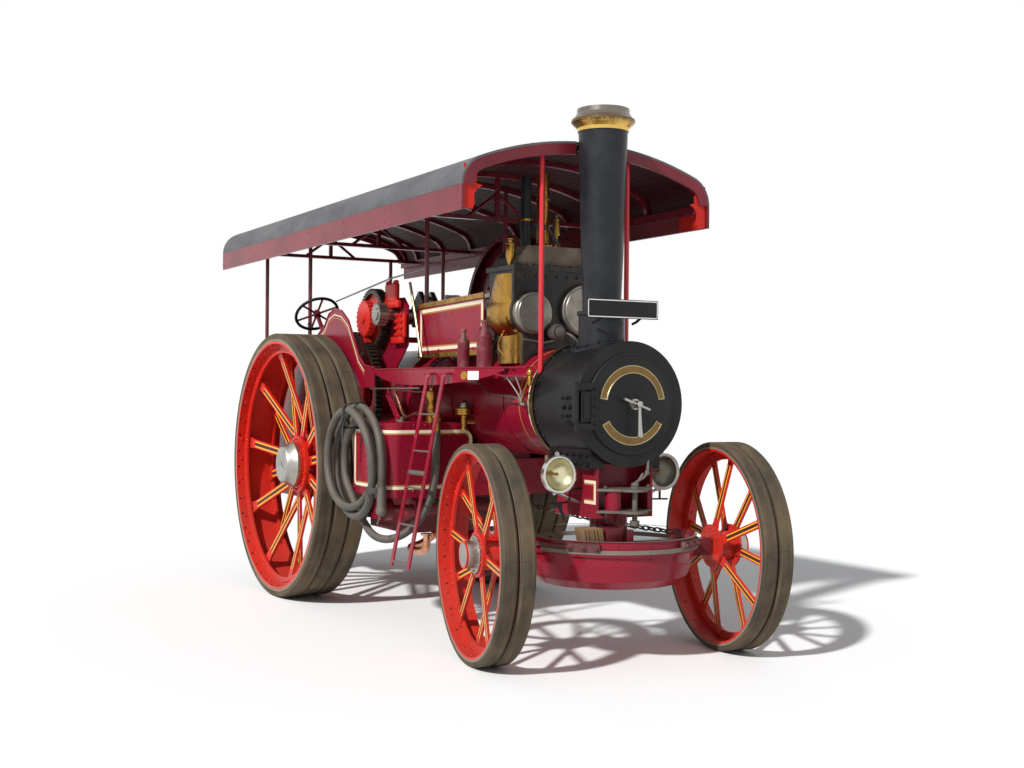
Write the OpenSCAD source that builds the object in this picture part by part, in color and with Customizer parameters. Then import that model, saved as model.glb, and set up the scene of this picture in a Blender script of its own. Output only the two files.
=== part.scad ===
// Steam traction engine on rubber-shod spoked wheels, with a full-length canopy.
// Millimetres. +X is the way it drives, +Y its left side, +Z up, Z = 0 the ground.

/* [Wheels] */
// Diameter over the rubber of a rear wheel
rear_d = 2134; // [2050:1:2200]
// Width of a rear wheel
rear_w = 388; // [360:1:390]
// Outer face of each rear wheel, from the centre line
rear_face = 1117.5; // [1110:0.5:1150]
// Thickness of the rear rubber
rear_rubber = 62; // [45:1:70]
// Diameter over the rubber of a front wheel
front_d = 1360; // [1300:1:1400]
// Width of a front wheel
front_w = 206; // [180:1:215]
// Middle of each front wheel, from the king pin
front_mid = 842.5; // [835:0.5:880]
// Thickness of the front rubber
front_rubber = 45; // [35:1:55]
// Gap between two rubber rings
ring_gap = 17; // [10:1:22]
// Distance from the rear axle to the king pin
wheelbase = 3255; // [3200:1:3300]
// Turn of the front axle at rest, plus to the left
steer_rest = -9.46; // [-12:0.01:12]

/* [Boiler] */
// Height of the boiler's centre line
boiler_z = 1609; // [1590:1:1640]
// Radius of the lagged barrel
barrel_r = 360; // [340:1:368]
// Radius of the smokebox
smokebox_r = 384; // [376:1:395]
// Back of the smokebox, ahead of the rear axle
smokebox_x0 = 2910; // [2890:1:2930]
// Front of the smokebox, ahead of the rear axle
smokebox_x1 = 3496; // [3480:1:3510]
// Radius of the smokebox door
door_r = 318; // [300:1:325]
// Distance between the insides of the hornplates
horn_gap = 800; // [790:1:810]

/* [Chimney] */
// Chimney's centre line, ahead of the rear axle
chimney_x = 3160; // [3140:1:3190]
// Top of the chimney's cap
chimney_top = 3500; // [3400:1:3560]
// Barrel radius at the foot
chimney_r0 = 126; // [110:1:136]
// Barrel radius under the cap
chimney_r1 = 159; // [145:1:165]

/* [Canopy] */
// Half width over the side boards
canopy_y = 954; // [930:1:980]
// Rear end of the canopy, ahead of the rear axle
canopy_x0 = -2008; // [-2060:1:-1980]
// Front end of the canopy, ahead of the rear axle
canopy_x1 = 3035; // [3020:1:3060]
// Lower edge of the side boards
canopy_z0 = 2811; // [2795:1:2830]
// Height of the side boards
board_h = 155; // [140:1:170]
// Crown of the roof
canopy_z1 = 3310; // [3290:1:3340]

/* [Platforms] */
// Top of the running boards
board_z = 1840; // [1825:1:1860]
// Depth of the running boards' valance
valance_h = 120; // [100:1:130]
// Bottom of the water tank
tank_z0 = 935; // [915:1:950]
// Top of the water tank's wings
tank_z1 = 1455; // [1420:1:1470]
// Front of the water tank, ahead of the rear axle
tank_x1 = 1940; // [1900:1:1960]
// Half width of the water tank
tank_y = 960; // [930:1:965]

/* [Motion work] */
// Crankshaft's place ahead of the rear axle
crank_x = 850; // [845:1:860]
// Crankshaft's height
crank_z = 2270; // [2262:1:2280]
// Diameter of the flywheel
flywheel_d = 1370; // [1300:1:1385]
// Front face of the cylinder block
cylinder_x1 = 2600; // [2590:1:2615]

/* [Hidden] */
$fn = 64;
rear_r = rear_d / 2;
front_r = front_d / 2;
rear_mid = rear_face - rear_w / 2;
front_nose = wheelbase + front_mid * sin(abs(steer_rest)) + front_r * cos(steer_rest)
    + front_w / 2 * sin(abs(steer_rest));
centre_x = (canopy_x0 + front_nose) / 2;
horn_in = horn_gap / 2;
horn_t = 14;
horn_out = horn_in + horn_t;
horn_x0 = -620;
second_shaft = [530, 2250];
third_shaft = [300, 1640];
barrel_shaft = [1170, 790];
firebox_x0 = 130;
firebox_x1 = 940;
axle_r = 75;
stub_r = 38;
fit = 0.3;
running = 1;
board_t = 8;
roof_t = 14;
shoulder_r = 200;
axle_z = front_r;
tray_r = 550;
tray_top = 790;

// Places: everything is drawn from the rear axle's centre, then set about the middle
module from_axle() translate([-centre_x, 0, 0]) children();
module steered() from_axle() translate([wheelbase, 0, 0]) rotate([0, 0, steer_rest]) children();

// A round bar from p to q
module rod(p, q, d) {
    v = q - p;
    translate(p) rotate([0, acos(v[2] / norm(v)), atan2(v[1], v[0])])
        cylinder(h = norm(v), d = d, $fn = 24);
}
// A drawing in X and Z, as a plate whose face is at y and whose body lies t behind it
module plate_xz(y, t) translate([0, y, 0]) rotate([90, 0, 0]) linear_extrude(t) children();
// A drawing in Y and Z, as a plate from x forward by t
module plate_yz(x, t) translate([x, 0, 0]) rotate([90, 0, 90]) linear_extrude(t) children();
// A round bar along Y
module drum_y(x, z, y0, y1, r) translate([x, y1, z]) rotate([90, 0, 0]) cylinder(h = y1 - y0, r = r);
// A round bar along X
module drum_x(x0, x1, y, z, r) translate([x0, y, z]) rotate([0, 90, 0]) cylinder(h = x1 - x0, r = r);

// Wheels, about their own centre with the outer face toward +Y
// Rubber rings, count across the width
module rubber_rings(r, w, thick, count) {
    ring_w = (w - (count - 1) * ring_gap) / count;
    for (i = [0:count - 1]) translate([0, -w / 2 + i * (ring_w + ring_gap), 0])
        rotate([-90, 0, 0]) rotate_extrude($fn = 96)
            polygon([[r - thick, 0], [r - 9, 0], [r, 12], [r, ring_w - 12], [r - 9, ring_w],
                [r - thick, ring_w]]);
}
// A flat spoke from the hub flange at y0 to the rim's stem at y1
module spoke(r0, r1, y0, y1, wide, thick, palm) {
    lean = atan2(y1 - y0, r1 - r0);
    reach = norm([r1 - r0, y1 - y0]);
    translate([r0, y0, 0]) rotate([0, 0, lean]) rotate([90, 0, 0])
        translate([0, 0, -thick / 2]) linear_extrude(thick)
            polygon([[0, -palm / 2], [0.10 * reach, -wide / 2], [0.88 * reach, -wide / 2],
                [reach, -palm / 2], [reach, palm / 2], [0.88 * reach, wide / 2],
                [0.10 * reach, wide / 2], [0, palm / 2]]);
}
module rear_steel() {
    half = rear_w / 2;
    rim = rear_r - rear_rubber;
    stem = 0.3 * rear_w;
    difference() {
        union() {
            rotate([90, 0, 0]) translate([0, 0, -half]) difference() {
                cylinder(h = rear_w, r = rim, $fn = 96);
                translate([0, 0, -1]) cylinder(h = rear_w + 2, r = rim - 20, $fn = 96);
            }
            for (y = [-stem, stem]) drum_ring(y - 8, y + 8, rim - 10, rim - 93);
            drum_y(0, 0, -half + 20, half - 196, 135);
            drum_y(0, 0, half - 224, half - 196, 230);
            drum_y(0, 0, -half + 20, -half + 48, 230);
            rotate([-90, 0, 0]) translate([0, 0, half - 197]) rotate_extrude()
                polygon([[0, 0], [182, 0], [182, 52], [172, 66], [150, 96], [145, 120], [139, 127],
                    [0, 127]]);
            for (i = [0:9]) {
                rotate([0, i * 36 + 9, 0]) spoke(150, rim - 40, -half + 54, stem - 14, 75, 19, 115);
                rotate([0, i * 36 + 27, 0]) spoke(150, rim - 40, half - 230, 14 - stem, 75, 19, 115);
            }
        }
        drum_y(0, 0, -half - 1, half - 76, axle_r + running);
    }
}
module drum_ring(y0, y1, ro, ri) difference() {
    drum_y(0, 0, y0, y1, ro, $fn = 96);
    drum_y(0, 0, y0 - 1, y1 + 1, ri, $fn = 96);
}
module front_steel() {
    half = front_w / 2;
    rim = front_r - front_rubber;
    difference() {
        union() {
            rotate([90, 0, 0]) translate([0, 0, -half]) difference() {
                cylinder(h = front_w, r = rim, $fn = 96);
                translate([0, 0, -1]) cylinder(h = front_w + 2, r = rim - 14, $fn = 96);
            }
            drum_ring(8, 24, rim - 7, rim - 70);
            drum_y(0, 0, -half - 10, half - 60, 96);
            drum_y(0, 0, half - 78, half - 60, 140);
            drum_y(0, 0, -half - 10, -half + 8, 140);
            drum_y(0, 0, half - 61, half - 46, 115);
            drum_y(0, 0, half - 47, half + 24, 84);
            for (i = [0:5]) {
                rotate([0, i * 60 + 8, 0]) spoke(105, rim - 30, half - 83, 29, 52, 15, 84);
                rotate([0, i * 60 + 38, 0]) spoke(105, rim - 30, -half + 13, 3, 52, 15, 84);
            }
        }
        drum_y(0, 0, -half - 11, half, stub_r + running);
    }
}
module rear_wheel_right() from_axle() color("orangered")
    translate([0, -rear_mid, rear_r]) mirror([0, 1, 0]) rear_steel();
module rear_wheel_left() from_axle() color("orangered")
    translate([0, rear_mid, rear_r]) rear_steel();
module rear_tyre_right() from_axle() color("dimgray")
    translate([0, -rear_mid, rear_r]) mirror([0, 1, 0]) rubber_rings(rear_r, rear_w, rear_rubber, 3);
module rear_tyre_left() from_axle() color("dimgray")
    translate([0, rear_mid, rear_r]) rubber_rings(rear_r, rear_w, rear_rubber, 3);
module front_wheel_right() steered() color("orangered")
    translate([0, -front_mid, axle_z]) mirror([0, 1, 0]) front_steel();
module front_wheel_left() steered() color("orangered")
    translate([0, front_mid, axle_z]) front_steel();
module front_tyre_right() steered() color("dimgray")
    translate([0, -front_mid, axle_z]) mirror([0, 1, 0])
        rubber_rings(front_r, front_w, front_rubber, 2);
module front_tyre_left() steered() color("dimgray")
    translate([0, front_mid, axle_z]) rubber_rings(front_r, front_w, front_rubber, 2);

// Boiler
module boiler_barrel() from_axle() color("crimson") {
    drum_x(firebox_x1, smokebox_x0, 0, boiler_z, barrel_r);
    // Lagging bands: place along the barrel, width
    for (band = [[1150, 30], [1700, 30], [2480, 30], [smokebox_x0 - 45, 45]])
        drum_x(band[0], band[0] + band[1], 0, boiler_z, barrel_r + 5);
}
module firebox_outline(grow = 0) {
    translate([0, boiler_z]) circle(r = horn_in - fit + grow);
    translate([-horn_in + fit, 640]) square([horn_gap - 2 * fit, boiler_z - 640]);
}
module firebox() from_axle() color("maroon") {
    plate_yz(firebox_x0, firebox_x1 - firebox_x0) firebox_outline();
    translate([firebox_x0 + 60, -horn_in + 60, 560])
        cube([firebox_x1 - firebox_x0 - 120, horn_gap - 120, 80]);
    // Firehole ring and door
    drum_x(firebox_x0 - 20, firebox_x0, 0, 1500, 170);
    drum_x(firebox_x0 - 34, firebox_x0 - 20, 0, 1500, 150);
    // Water gauges and the regulator's stuffing box
    for (y = [-170, 170]) drum_x(firebox_x0 - 60, firebox_x0, y, 1820, 16);
    for (y = [-170, 170]) rod([firebox_x0 - 50, y, 1720], [firebox_x0 - 50, y, 1900], 22);
    drum_x(firebox_x0 - 70, firebox_x0, 0, 1850, 26);
}
module horn_outline() difference() {
    polygon([[horn_x0, 860], [-300, 640], [930, 640], [barrel_shaft[0] + 50, 740],
        [barrel_shaft[0] + 50, 840], [930, 920], [930, 1500], [760, 1780], [1060, 2030],
        [1060, crank_z + 60], [980, crank_z + 130], [300, crank_z + 130], [200, 2330],
        [80, 1980], [horn_x0, 1850]]);
    translate([0, rear_r]) circle(r = axle_r + fit);
    translate([crank_x, crank_z]) circle(r = 48 + running);
    translate(second_shaft) circle(r = 36 + fit);
    translate(third_shaft) circle(r = 36 + fit);
    translate(barrel_shaft) circle(r = 24 + fit);
}
module hornplates() from_axle() color("firebrick") {
    plate_xz(-horn_in, horn_t) horn_outline();
    plate_xz(horn_out, horn_t) horn_outline();
    // Axle boxes and crankshaft bearings on the outside of the plates
    for (y = [-horn_out - 16, horn_out]) {
        difference() {
            drum_y(0, rear_r, y, y + 16, 150);
            drum_y(0, rear_r, y - 1, y + 17, axle_r + fit);
        }
    }
    // Stays between the plates
    for (at = [[-450, 1000], [200, 2280], [1010, 2070]])
        drum_y(at[0], at[1], -horn_in, horn_in, 22);
}

// Smokebox and chimney
module smokebox() from_axle() color("#262626") {
    difference() {
        drum_x(smokebox_x0, smokebox_x1, 0, boiler_z, smokebox_r);
        drum_x(smokebox_x0 + 30, smokebox_x1 - 14, 0, boiler_z, smokebox_r - 12);
        drum_x(smokebox_x1 - 20, smokebox_x1 + 1, 0, boiler_z, door_r - 26);
        translate([chimney_x, 0, boiler_z]) cylinder(h = 600, r = 105);
    }
    // Rolled rings at both ends
    for (x = [smokebox_x0, smokebox_x1 - 40]) difference() {
        drum_x(x, x + 40, 0, boiler_z, smokebox_r + 9);
        drum_x(x - 1, x + 41, 0, boiler_z, smokebox_r - 2);
    }
    // Long barrel of the door's hinge with its pin, held off the side by a plate and two lugs
    translate([hinge_x, hinge_y, 1502]) cylinder(h = 186, r = 14);
    translate([hinge_x, hinge_y, 1442]) cylinder(h = 300, r = hinge_pin - 0.08);
    translate([smokebox_x1 - 30, hinge_y - 6, 1502]) cube([hinge_x - smokebox_x1 + 30, 12, 186]);
    for (z = [1510, 1620]) translate([smokebox_x1 - 150, hinge_y + 6, z])
        cube([150, smokebox_r - 366 + 15, 52]);
}
hinge_x = smokebox_x1 + 16;
hinge_y = -smokebox_r - 21;
hinge_pin = 6;
module smokebox_door() from_axle() color("#1c1c1c") {
    // Dished plate on a flat rim
    translate([smokebox_x1 + 0.5, 0, boiler_z]) rotate([0, 90, 0]) rotate_extrude($fn = 96)
        polygon([[0, 20], [0, 34], [150, 30], [250, 20], [door_r - 20, 10], [door_r, 10],
            [door_r, 0], [door_r - 30, 0], [240, 7], [150, 16]]);
    // Hinge casting: bolt plate, raised panel, and an arm to the pin at the top and bottom
    translate([smokebox_x1 + 10, hinge_y + 100, 1462]) cube([16, 54, 272]);
    translate([smokebox_x1 + 10, hinge_y + 30, 1502]) cube([12, 72, 186]);
    for (z = [1442, 1689]) difference() {
        union() {
            translate([hinge_x, hinge_y, z]) cylinder(h = 59, r = 15);
            translate([smokebox_x1 + 10, hinge_y, z + 8]) cube([20, 110, 42]);
        }
        translate([hinge_x, hinge_y, z - 1]) cylinder(h = 61, r = hinge_pin);
    }
}
module door_handle() from_axle() color("silver") {
    drum_x(smokebox_x1 + 34.5 + fit, smokebox_x1 + 110, 0, boiler_z, 14);
    drum_x(smokebox_x1 + 34.5 + fit, smokebox_x1 + 56, 0, boiler_z, 34);
    rod([smokebox_x1 + 72, -95, boiler_z + 34], [smokebox_x1 + 72, 95, boiler_z - 34], 18);
    rod([smokebox_x1 + 98, 0, boiler_z], [smokebox_x1 + 98, 0, boiler_z - 200], 18);
}
cap_z = chimney_top - 146;
module chimney() from_axle() color("#2b2b2b") {
    difference() {
        translate([chimney_x, 0, 0]) rotate_extrude($fn = 72)
            polygon([[0, 1900], [150, 1900], [150, 2170], [160, 2176], [160, 2200],
                [chimney_r0, 2206], [chimney_r0, 2295], [chimney_r0 + 10, 2540],
                [chimney_r1, cap_z], [0, cap_z]]);
        translate([chimney_x, 0, 1800]) cylinder(h = 1700, r = 105);
        drum_x(smokebox_x0, smokebox_x1, 0, boiler_z, smokebox_r + fit);
    }
    // Curved foot bolted on the smokebox
    intersection() {
        translate([chimney_x, 0, 1700]) difference() {
            cylinder(h = 600, r = 204);
            translate([0, 0, -1]) cylinder(h = 602, r = 149);
        }
        difference() {
            drum_x(smokebox_x0, smokebox_x1, 0, boiler_z, smokebox_r + 14, $fn = 96);
            drum_x(smokebox_x0 - 1, smokebox_x1 + 1, 0, boiler_z, smokebox_r + fit, $fn = 96);
        }
    }
}
module chimney_cap() from_axle() color("peru") translate([chimney_x, 0, 0])
    rotate_extrude($fn = 72) polygon([[110, cap_z], [chimney_r1 + 6, cap_z],
        [chimney_r1 + 8, cap_z + 22], [chimney_r1 + 30, cap_z + 42], [chimney_r1 + 47, cap_z + 60],
        [chimney_r1 + 47, cap_z + 76], [chimney_r1 + 30, cap_z + 90], [chimney_r1 + 12, cap_z + 116],
        [chimney_r1 + 10, chimney_top], [chimney_r1 - 6, chimney_top], [110, cap_z + 86]]);

// Perch bracket under the smokebox, with the towing fork in front
perch_y = 210;
perch_x0 = min(2950, wheelbase - 180);
perch_x1 = wheelbase + 185;
perch_z0 = 900;
module perch_bracket() from_axle() color("crimson") difference() {
    union() {
        for (y = [-perch_y, perch_y - 16]) translate([perch_x0, y, perch_z0])
            cube([perch_x1 - perch_x0, 16, boiler_z - perch_z0]);
        translate([perch_x0, -perch_y, perch_z0]) cube([perch_x1 - perch_x0, 2 * perch_y, 30]);
        translate([perch_x0, -perch_y, perch_z0]) cube([20, 2 * perch_y, boiler_z - perch_z0]);
        translate([perch_x1 - 160, -perch_y, perch_z0]) cube([20, 2 * perch_y, boiler_z - perch_z0]);
        // Bolted flange along the smokebox
        for (s = [-1, 1]) translate([perch_x0, s * (perch_y + 24) - 24, 1210])
            cube([perch_x1 - perch_x0, 48, 160]);
        // King pin and its seat
        translate([wheelbase, 0, 846]) cylinder(h = 60, r = 120);
        translate([wheelbase, 0, axle_z - 40]) cylinder(h = perch_z0 + 10 - axle_z + 40, r = 30);
    }
    drum_x(perch_x0 - 1, perch_x1 + 100, 0, boiler_z, smokebox_r + fit);
}
module towing_fork() from_axle() color("gray") {
    // Upper and lower plates: underside, thickness
    difference() {
        union() for (plate = [[1070, 15], [935, 15]]) translate([0, 0, plate[0]])
            linear_extrude(plate[1]) {
                translate([perch_x1 - 60, -perch_y]) square([60, 2 * perch_y]);
                polygon([[perch_x1, -perch_y], [perch_x1 + 90, -90], [perch_x1 + 90, 90],
                    [perch_x1, perch_y]]);
                translate([perch_x1 + 90, 0]) circle(r = 90);
            }
        translate([perch_x1 + 110, 0, 900]) cylinder(h = 220, r = 17);
        for (y = [-perch_y, perch_y - 16]) translate([perch_x1 - 61, y - 1, 900])
            cube([61, 18, 220]);
    }
    // Guide roller between the plates
    translate([perch_x1 + 10, -95, 950]) cylinder(h = 120, r = 50);
    // Draw pin with its handle and nut
    translate([perch_x1 + 110, 0, 850]) cylinder(h = 250, r = 17 - fit);
    translate([perch_x1 + 110, 0, 860]) cylinder(h = 30, r = 30);
    translate([perch_x1 + 110, 0, 1086]) cylinder(h = 14, r = 30);
    rod([perch_x1 + 110, 0, 1100], [perch_x1 + 110, 60, 1180], 16);
}

// Water tank under the barrel, its wings rising on both sides
module tank_front() difference() {
    union() {
        translate([-tank_y, tank_z0]) square([2 * tank_y, 1190 - tank_z0]);
        for (s = [-1, 1]) translate([s * (tank_y + 330) / 2 - (tank_y - 330) / 2, tank_z0])
            square([tank_y - 330, tank_z1 - tank_z0 - 60]);
        for (s = [-1, 1]) translate([s * 390, tank_z1 - 60]) circle(r = 60);
        for (s = [-1, 1]) translate([s * (tank_y + 390) / 2 - (tank_y - 390) / 2, tank_z1 - 120])
            square([tank_y - 390, 120]);
    }
}
tank_x0 = 1330;
module water_tank() from_axle() color("crimson") {
    tank_body();
    // Saddles that hang it from the barrel
    for (x = [tank_x0 + 80, tank_x1 - 120]) plate_yz(x, 40) difference() {
        translate([-220, 1180]) square([440, 160]);
        translate([0, boiler_z]) circle(r = barrel_r + fit);
    }
}
module tank_body() intersection() {
    plate_yz(tank_x0, tank_x1 - tank_x0) tank_front();
    translate([0, 0, tank_z0 - 1]) linear_extrude(700) {
        translate([tank_x0, -tank_y + 100]) square([tank_x1 - tank_x0, 2 * tank_y - 200]);
        translate([tank_x0, -tank_y]) square([tank_x1 - tank_x0 - 100, 2 * tank_y]);
        for (s = [-1, 1]) translate([tank_x1 - 100, s * (tank_y - 100)]) circle(r = 100);
    }
}

// Cylinder block, its covers and cladding
module block_outline(grow = 0) {
    // Bores: middle across, height, radius of the casing
    for (bore = [[-207, 2215, 136], [205, 2225, 182]])
        translate([bore[0], bore[1]]) circle(r = bore[2] + grow);
    translate([-(325 + grow), 2215]) square([650 + 2 * grow, 300]);
    translate([-250 - grow, 1860]) square([500 + 2 * grow, 360]);
}
cylinder_x0 = 2235;
module cylinder_block() from_axle() color("#3a3632") {
    difference() {
        union() {
            plate_yz(cylinder_x0, cylinder_x1 - cylinder_x0) block_outline();
            plate_yz(cylinder_x1 - 30, 30) block_outline(14);
            translate([cylinder_x0 - 20, -345, 2500]) cube([cylinder_x1 - cylinder_x0 + 30, 690, 32]);
        }
        drum_x(1900, 2800, 0, boiler_z, barrel_r + 5 + fit);
    }
    // Valve casing on top
    plate_yz(cylinder_x0 + 10, 320) polygon([[-280, 2532], [280, 2532], [270, 2600], [210, 2672],
        [-210, 2672], [-270, 2600]]);
    // Cylinder covers: middle across, height, radius
    for (cover = [[-210, 2210, 133], [207, 2235, 172]])
        translate([cylinder_x1, cover[0], cover[1]]) rotate([0, 90, 0]) rotate_extrude($fn = 72)
            polygon([[0, -1], [cover[2], -1], [cover[2], 26], [cover[2] - 10, 38],
                [cover[2] - 30, 46], [0, 50]]);
    // Relief valve under the covers
    drum_x(cylinder_x1 - 40, cylinder_x1 + 110, -40, 2085, 45);
}
module cylinder_cladding() from_axle() color("goldenrod") difference() {
    plate_yz(cylinder_x0 + 15, cylinder_x1 - cylinder_x0 - 45 - fit) block_outline(9);
    plate_yz(cylinder_x0, cylinder_x1 - cylinder_x0) block_outline(fit);
    translate([cylinder_x0, -600, 2480]) cube([600, 1200, 200]);
    drum_x(1900, 2800, 0, boiler_z, barrel_r + 5 + fit);
}
module steam_column() from_axle() color("goldenrod") {
    // Tall brass pipe up through the canopy, whistle, safety valve and lubricator
    translate([2400, 0, 2672]) cylinder(h = 520, r = 43);
    translate([2400, 0, 2672]) cylinder(h = 24, r = 64);
    translate([2480, 60, 2672]) cylinder(h = 90, r = 12);
    translate([2480, 60, 2762]) cylinder(h = 110, r = 24);
    translate([2280, 60, 2672]) cylinder(h = 150, r = 26);
    translate([2500, -312, 2532]) cylinder(h = 61, r = 12);
    translate([2500, -312, 2592]) cylinder(h = 90, r = 30);
    translate([2500, -312, 2681]) cylinder(h = 40, r = 12);
}

// Motion work
cover_y = 360;
cover_x0 = 1140;
cover_x1 = cylinder_x0 - 20 - fit;
module motion_covers() from_axle() color("crimson") for (s = [-1, 1]) {
    y = s < 0 ? -cover_y + 4 : cover_y;
    z0 = 1925;
    z1 = 2338;
    z2 = 2368;
    plate_xz(y, 4) polygon([[cover_x0, z0], [cover_x1, z0 + 10], [cover_x1, z2], [cover_x0, z1]]);
    ystrip = s < 0 ? -cover_y : cover_y + 4;
    plate_xz(ystrip, 4) polygon([[cover_x0, z0], [cover_x1, z0 + 10], [cover_x1, z0 + 46],
        [cover_x0, z0 + 36]]);
    plate_xz(ystrip, 4) polygon([[cover_x0, z1 - 34], [cover_x1, z2 - 34], [cover_x1, z2],
        [cover_x0, z1]]);
    // Feet down to the barrel
    difference() {
        for (x = [1500, 2050]) rod([x, s * (cover_y + 2), 1990], [x, s * 200, 1860], 22);
        drum_x(1400, 2100, 0, boiler_z, barrel_r + fit);
        translate([1400, s < 0 ? -cover_y - 40 : cover_y + 4, 1900]) cube([700, 36, 300]);
    }
}
module motion_rods() from_axle() color("silver") for (y = [-205, 205]) difference() {
    // Slide bars, crosshead, piston rod and the connecting rod short of the crank's circle
    union() {
        for (z = [crank_z - 105, crank_z + 75]) translate([1420, y - 35, z])
            cube([cylinder_x0 - 1420, 70, 30]);
        translate([1690, y - 30, crank_z - 75]) cube([170, 60, 150]);
        rod([1860, y, crank_z - 30], [cylinder_x0, y, crank_z - 30], 50);
        rod([crank_x + 245, y, crank_z], [1700, y, crank_z], 55);
        translate([1400, y - 60, crank_z - 200]) cube([24, 120, 330]);
        rod([1412, y, crank_z - 190], [1412, y * 0.6, boiler_z + 300], 60);
    }
    drum_x(1300, 1600, 0, boiler_z, barrel_r + fit);
}
// A spur gear's outline with count teeth on the pitch radius r
module gear_outline(r, count, h) polygon([for (i = [0:count - 1]) each
    [for (t = [[-0.34, -h / 2], [-0.18, h / 2], [0.18, h / 2], [0.34, -h / 2]])
        let (a = (i + t[0]) * 360 / count) [(r + t[1]) * cos(a), (r + t[1]) * sin(a)]]]);
module spur_gear(at, y0, y1, r, count, holes, hub) translate([at[0], y1, at[1]])
    rotate([90, 0, 0]) {
        linear_extrude(y1 - y0) difference() {
            gear_outline(r, count, 16);
            circle(r = r - 34);
        }
        translate([0, 0, (y1 - y0) / 2 - 10]) linear_extrude(20) difference() {
            circle(r = r - 33);
            if (holes > 0) for (i = [0:holes - 1]) rotate(i * 360 / holes)
                translate([r * 0.58, 0]) circle(r = r * 0.2);
            circle(r = hub - 10);
        }
        cylinder(h = y1 - y0, r = hub);
    }
module pinion(at, y0, y1, r, count) translate([at[0], y1, at[1]]) rotate([90, 0, 0])
    linear_extrude(y1 - y0) gear_outline(r, count, 14);
module gear_train() from_axle() color("dimgray") {
    // Second shaft with its gear and pinion, third shaft, and the gear on the rear axle
    drum_y(second_shaft[0], second_shaft[1], -horn_out - 160, horn_out + 20, 36);
    spur_gear(second_shaft, -horn_out - 84, -horn_out - 10, 235, 42, 0, 62);
    pinion(second_shaft, -horn_out - 148, -horn_out - 92, 138, 23);
    drum_y(third_shaft[0], third_shaft[1], -horn_out - 160, -horn_in - fit, 36);
    spur_gear(third_shaft, -horn_out - 148, -horn_out - 92, 504, 84, 6, 80);
    pinion(third_shaft, -horn_out - 84, -horn_out - 22, 96, 16);
    difference() {
        spur_gear([0, rear_r], -horn_out - 84, -horn_out - 22, 540, 90, 6, 120);
        drum_y(0, rear_r, -horn_out - 90, -horn_out - 20, axle_r + fit);
    }
}
module rear_axle() from_axle() color("gray")
    drum_y(0, rear_r, -rear_face + 80, rear_face - 80, axle_r);
module crankshaft() from_axle() color("silver") {
    // Shaft in lengths between the webs: start, end across
    for (run = [[-600, -240], [-170, 170], [240, 740]])
        drum_y(crank_x, crank_z, run[0], run[1], 48);
    // Webs and crank pins: start across, turn of the throw
    for (web = [[-275, 45], [-175, 45], [135, 135], [235, 135]]) translate([crank_x, 0, crank_z])
        rotate([0, -web[1], 0]) translate([-70, web[0], -62]) cube([270, 40, 124]);
    for (pin = [[-205, 45], [205, 135]]) translate([crank_x, 0, crank_z])
        rotate([0, -pin[1], 0]) translate([145, pin[0] + 35, 0]) rotate([90, 0, 0])
            cylinder(h = 70, r = 44);
    // Pinion slid out of mesh
    pinion([crank_x, crank_z], -590, -516, 82, 18);
}
fly_y0 = 540;
fly_y1 = 690;
module flywheel() from_axle() color("maroon") translate([crank_x, fly_y1, crank_z])
    rotate([90, 0, 0]) difference() {
        union() {
            difference() {
                cylinder(h = fly_y1 - fly_y0, r = flywheel_d / 2, $fn = 96);
                translate([0, 0, -1]) cylinder(h = fly_y1 - fly_y0 + 2, r = flywheel_d / 2 - 40, $fn = 96);
            }
            translate([0, 0, 62]) cylinder(h = 26, r = flywheel_d / 2 - 39, $fn = 96);
            cylinder(h = fly_y1 - fly_y0, r = 120);
        }
        translate([0, 0, -1]) cylinder(h = fly_y1 - fly_y0 + 2, r = 48 + fit);
    }

// Platforms
module splasher() from_axle() color("crimson") {
    plate_xz(-697, 6) polygon([[-420, 1700], [1100, 1700], [1100, 1848], [900, 1870],
        [780, 1950], [680, 2080], [560, 2230], [420, 2310], [270, 2335], [140, 2300],
        [50, 2210], [-120, 2130], [-420, 2080]]);
    // Studs to the tender's sheet
    for (x = [-380, -40]) drum_y(x, 1760, -697, -660, 10);
}
// Running boards: straight along the splasher's line, then drawn in to the front post
board_x0 = 1100;
board_y = 703;
board_x1 = 2450;
board_tip = [2960, 440];
taper = atan2(board_y - board_tip[1], board_tip[0] - board_x1);
module board_top() linear_extrude(board_t) polygon([[board_x0, -board_y], [board_x1, -board_y],
    [board_tip[0], -board_tip[1]], [board_tip[0], -400], [2600, -390], [board_x0, -478]]);
// Valance hung just inside the edge: a strip in plan, its lower edge cut to a curve
function edge_in(d) = [board_x1 - d * tan(taper / 2), -board_y + d];
function edge_end(d) = [board_x1 + 400 * cos(taper) - d * sin(taper),
    -board_y + 400 * sin(taper) + d * cos(taper)];
module valance() intersection() {
    low = -valance_h;
    translate([0, 0, board_z + low - 1]) linear_extrude(valance_h - 2)
        polygon([[board_x0 + 1, -board_y + 1], edge_in(1), edge_end(1), edge_end(7), edge_in(7),
            [board_x0 + 1, -board_y + 7]]);
    plate_xz(0, 1000) translate([0, board_z]) polygon([[board_x0, 0], [board_x0, -34],
        [1240, 0.62 * low], [1380, 0.8 * low], [1560, 0.94 * low], [1750, low], [2100, low],
        [2300, 0.94 * low], [2450, 0.86 * low], [2592, 0.72 * low], [2708, 0.48 * low],
        [2779, -30], [2840, -12], [2840, 0]]);
}
module one_board() {
    translate([0, 0, board_z - board_t]) board_top();
    valance();
    // Brackets out from the barrel
    for (x = [1640, 2300]) plate_yz(x, 12) difference() {
        polygon([[-250, 1700], [-360, 1700], [-640, board_z - board_t], [-250, board_z - board_t]]);
        translate([0, boiler_z]) circle(r = barrel_r + fit);
    }
}
module running_boards() from_axle() color("crimson") {
    one_board();
    // The left one starts ahead of the flywheel
    mirror([0, 1, 0]) intersection() {
        one_board();
        translate([1570, -1200, 1000]) cube([2000, 1200, 1200]);
    }
}
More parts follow.
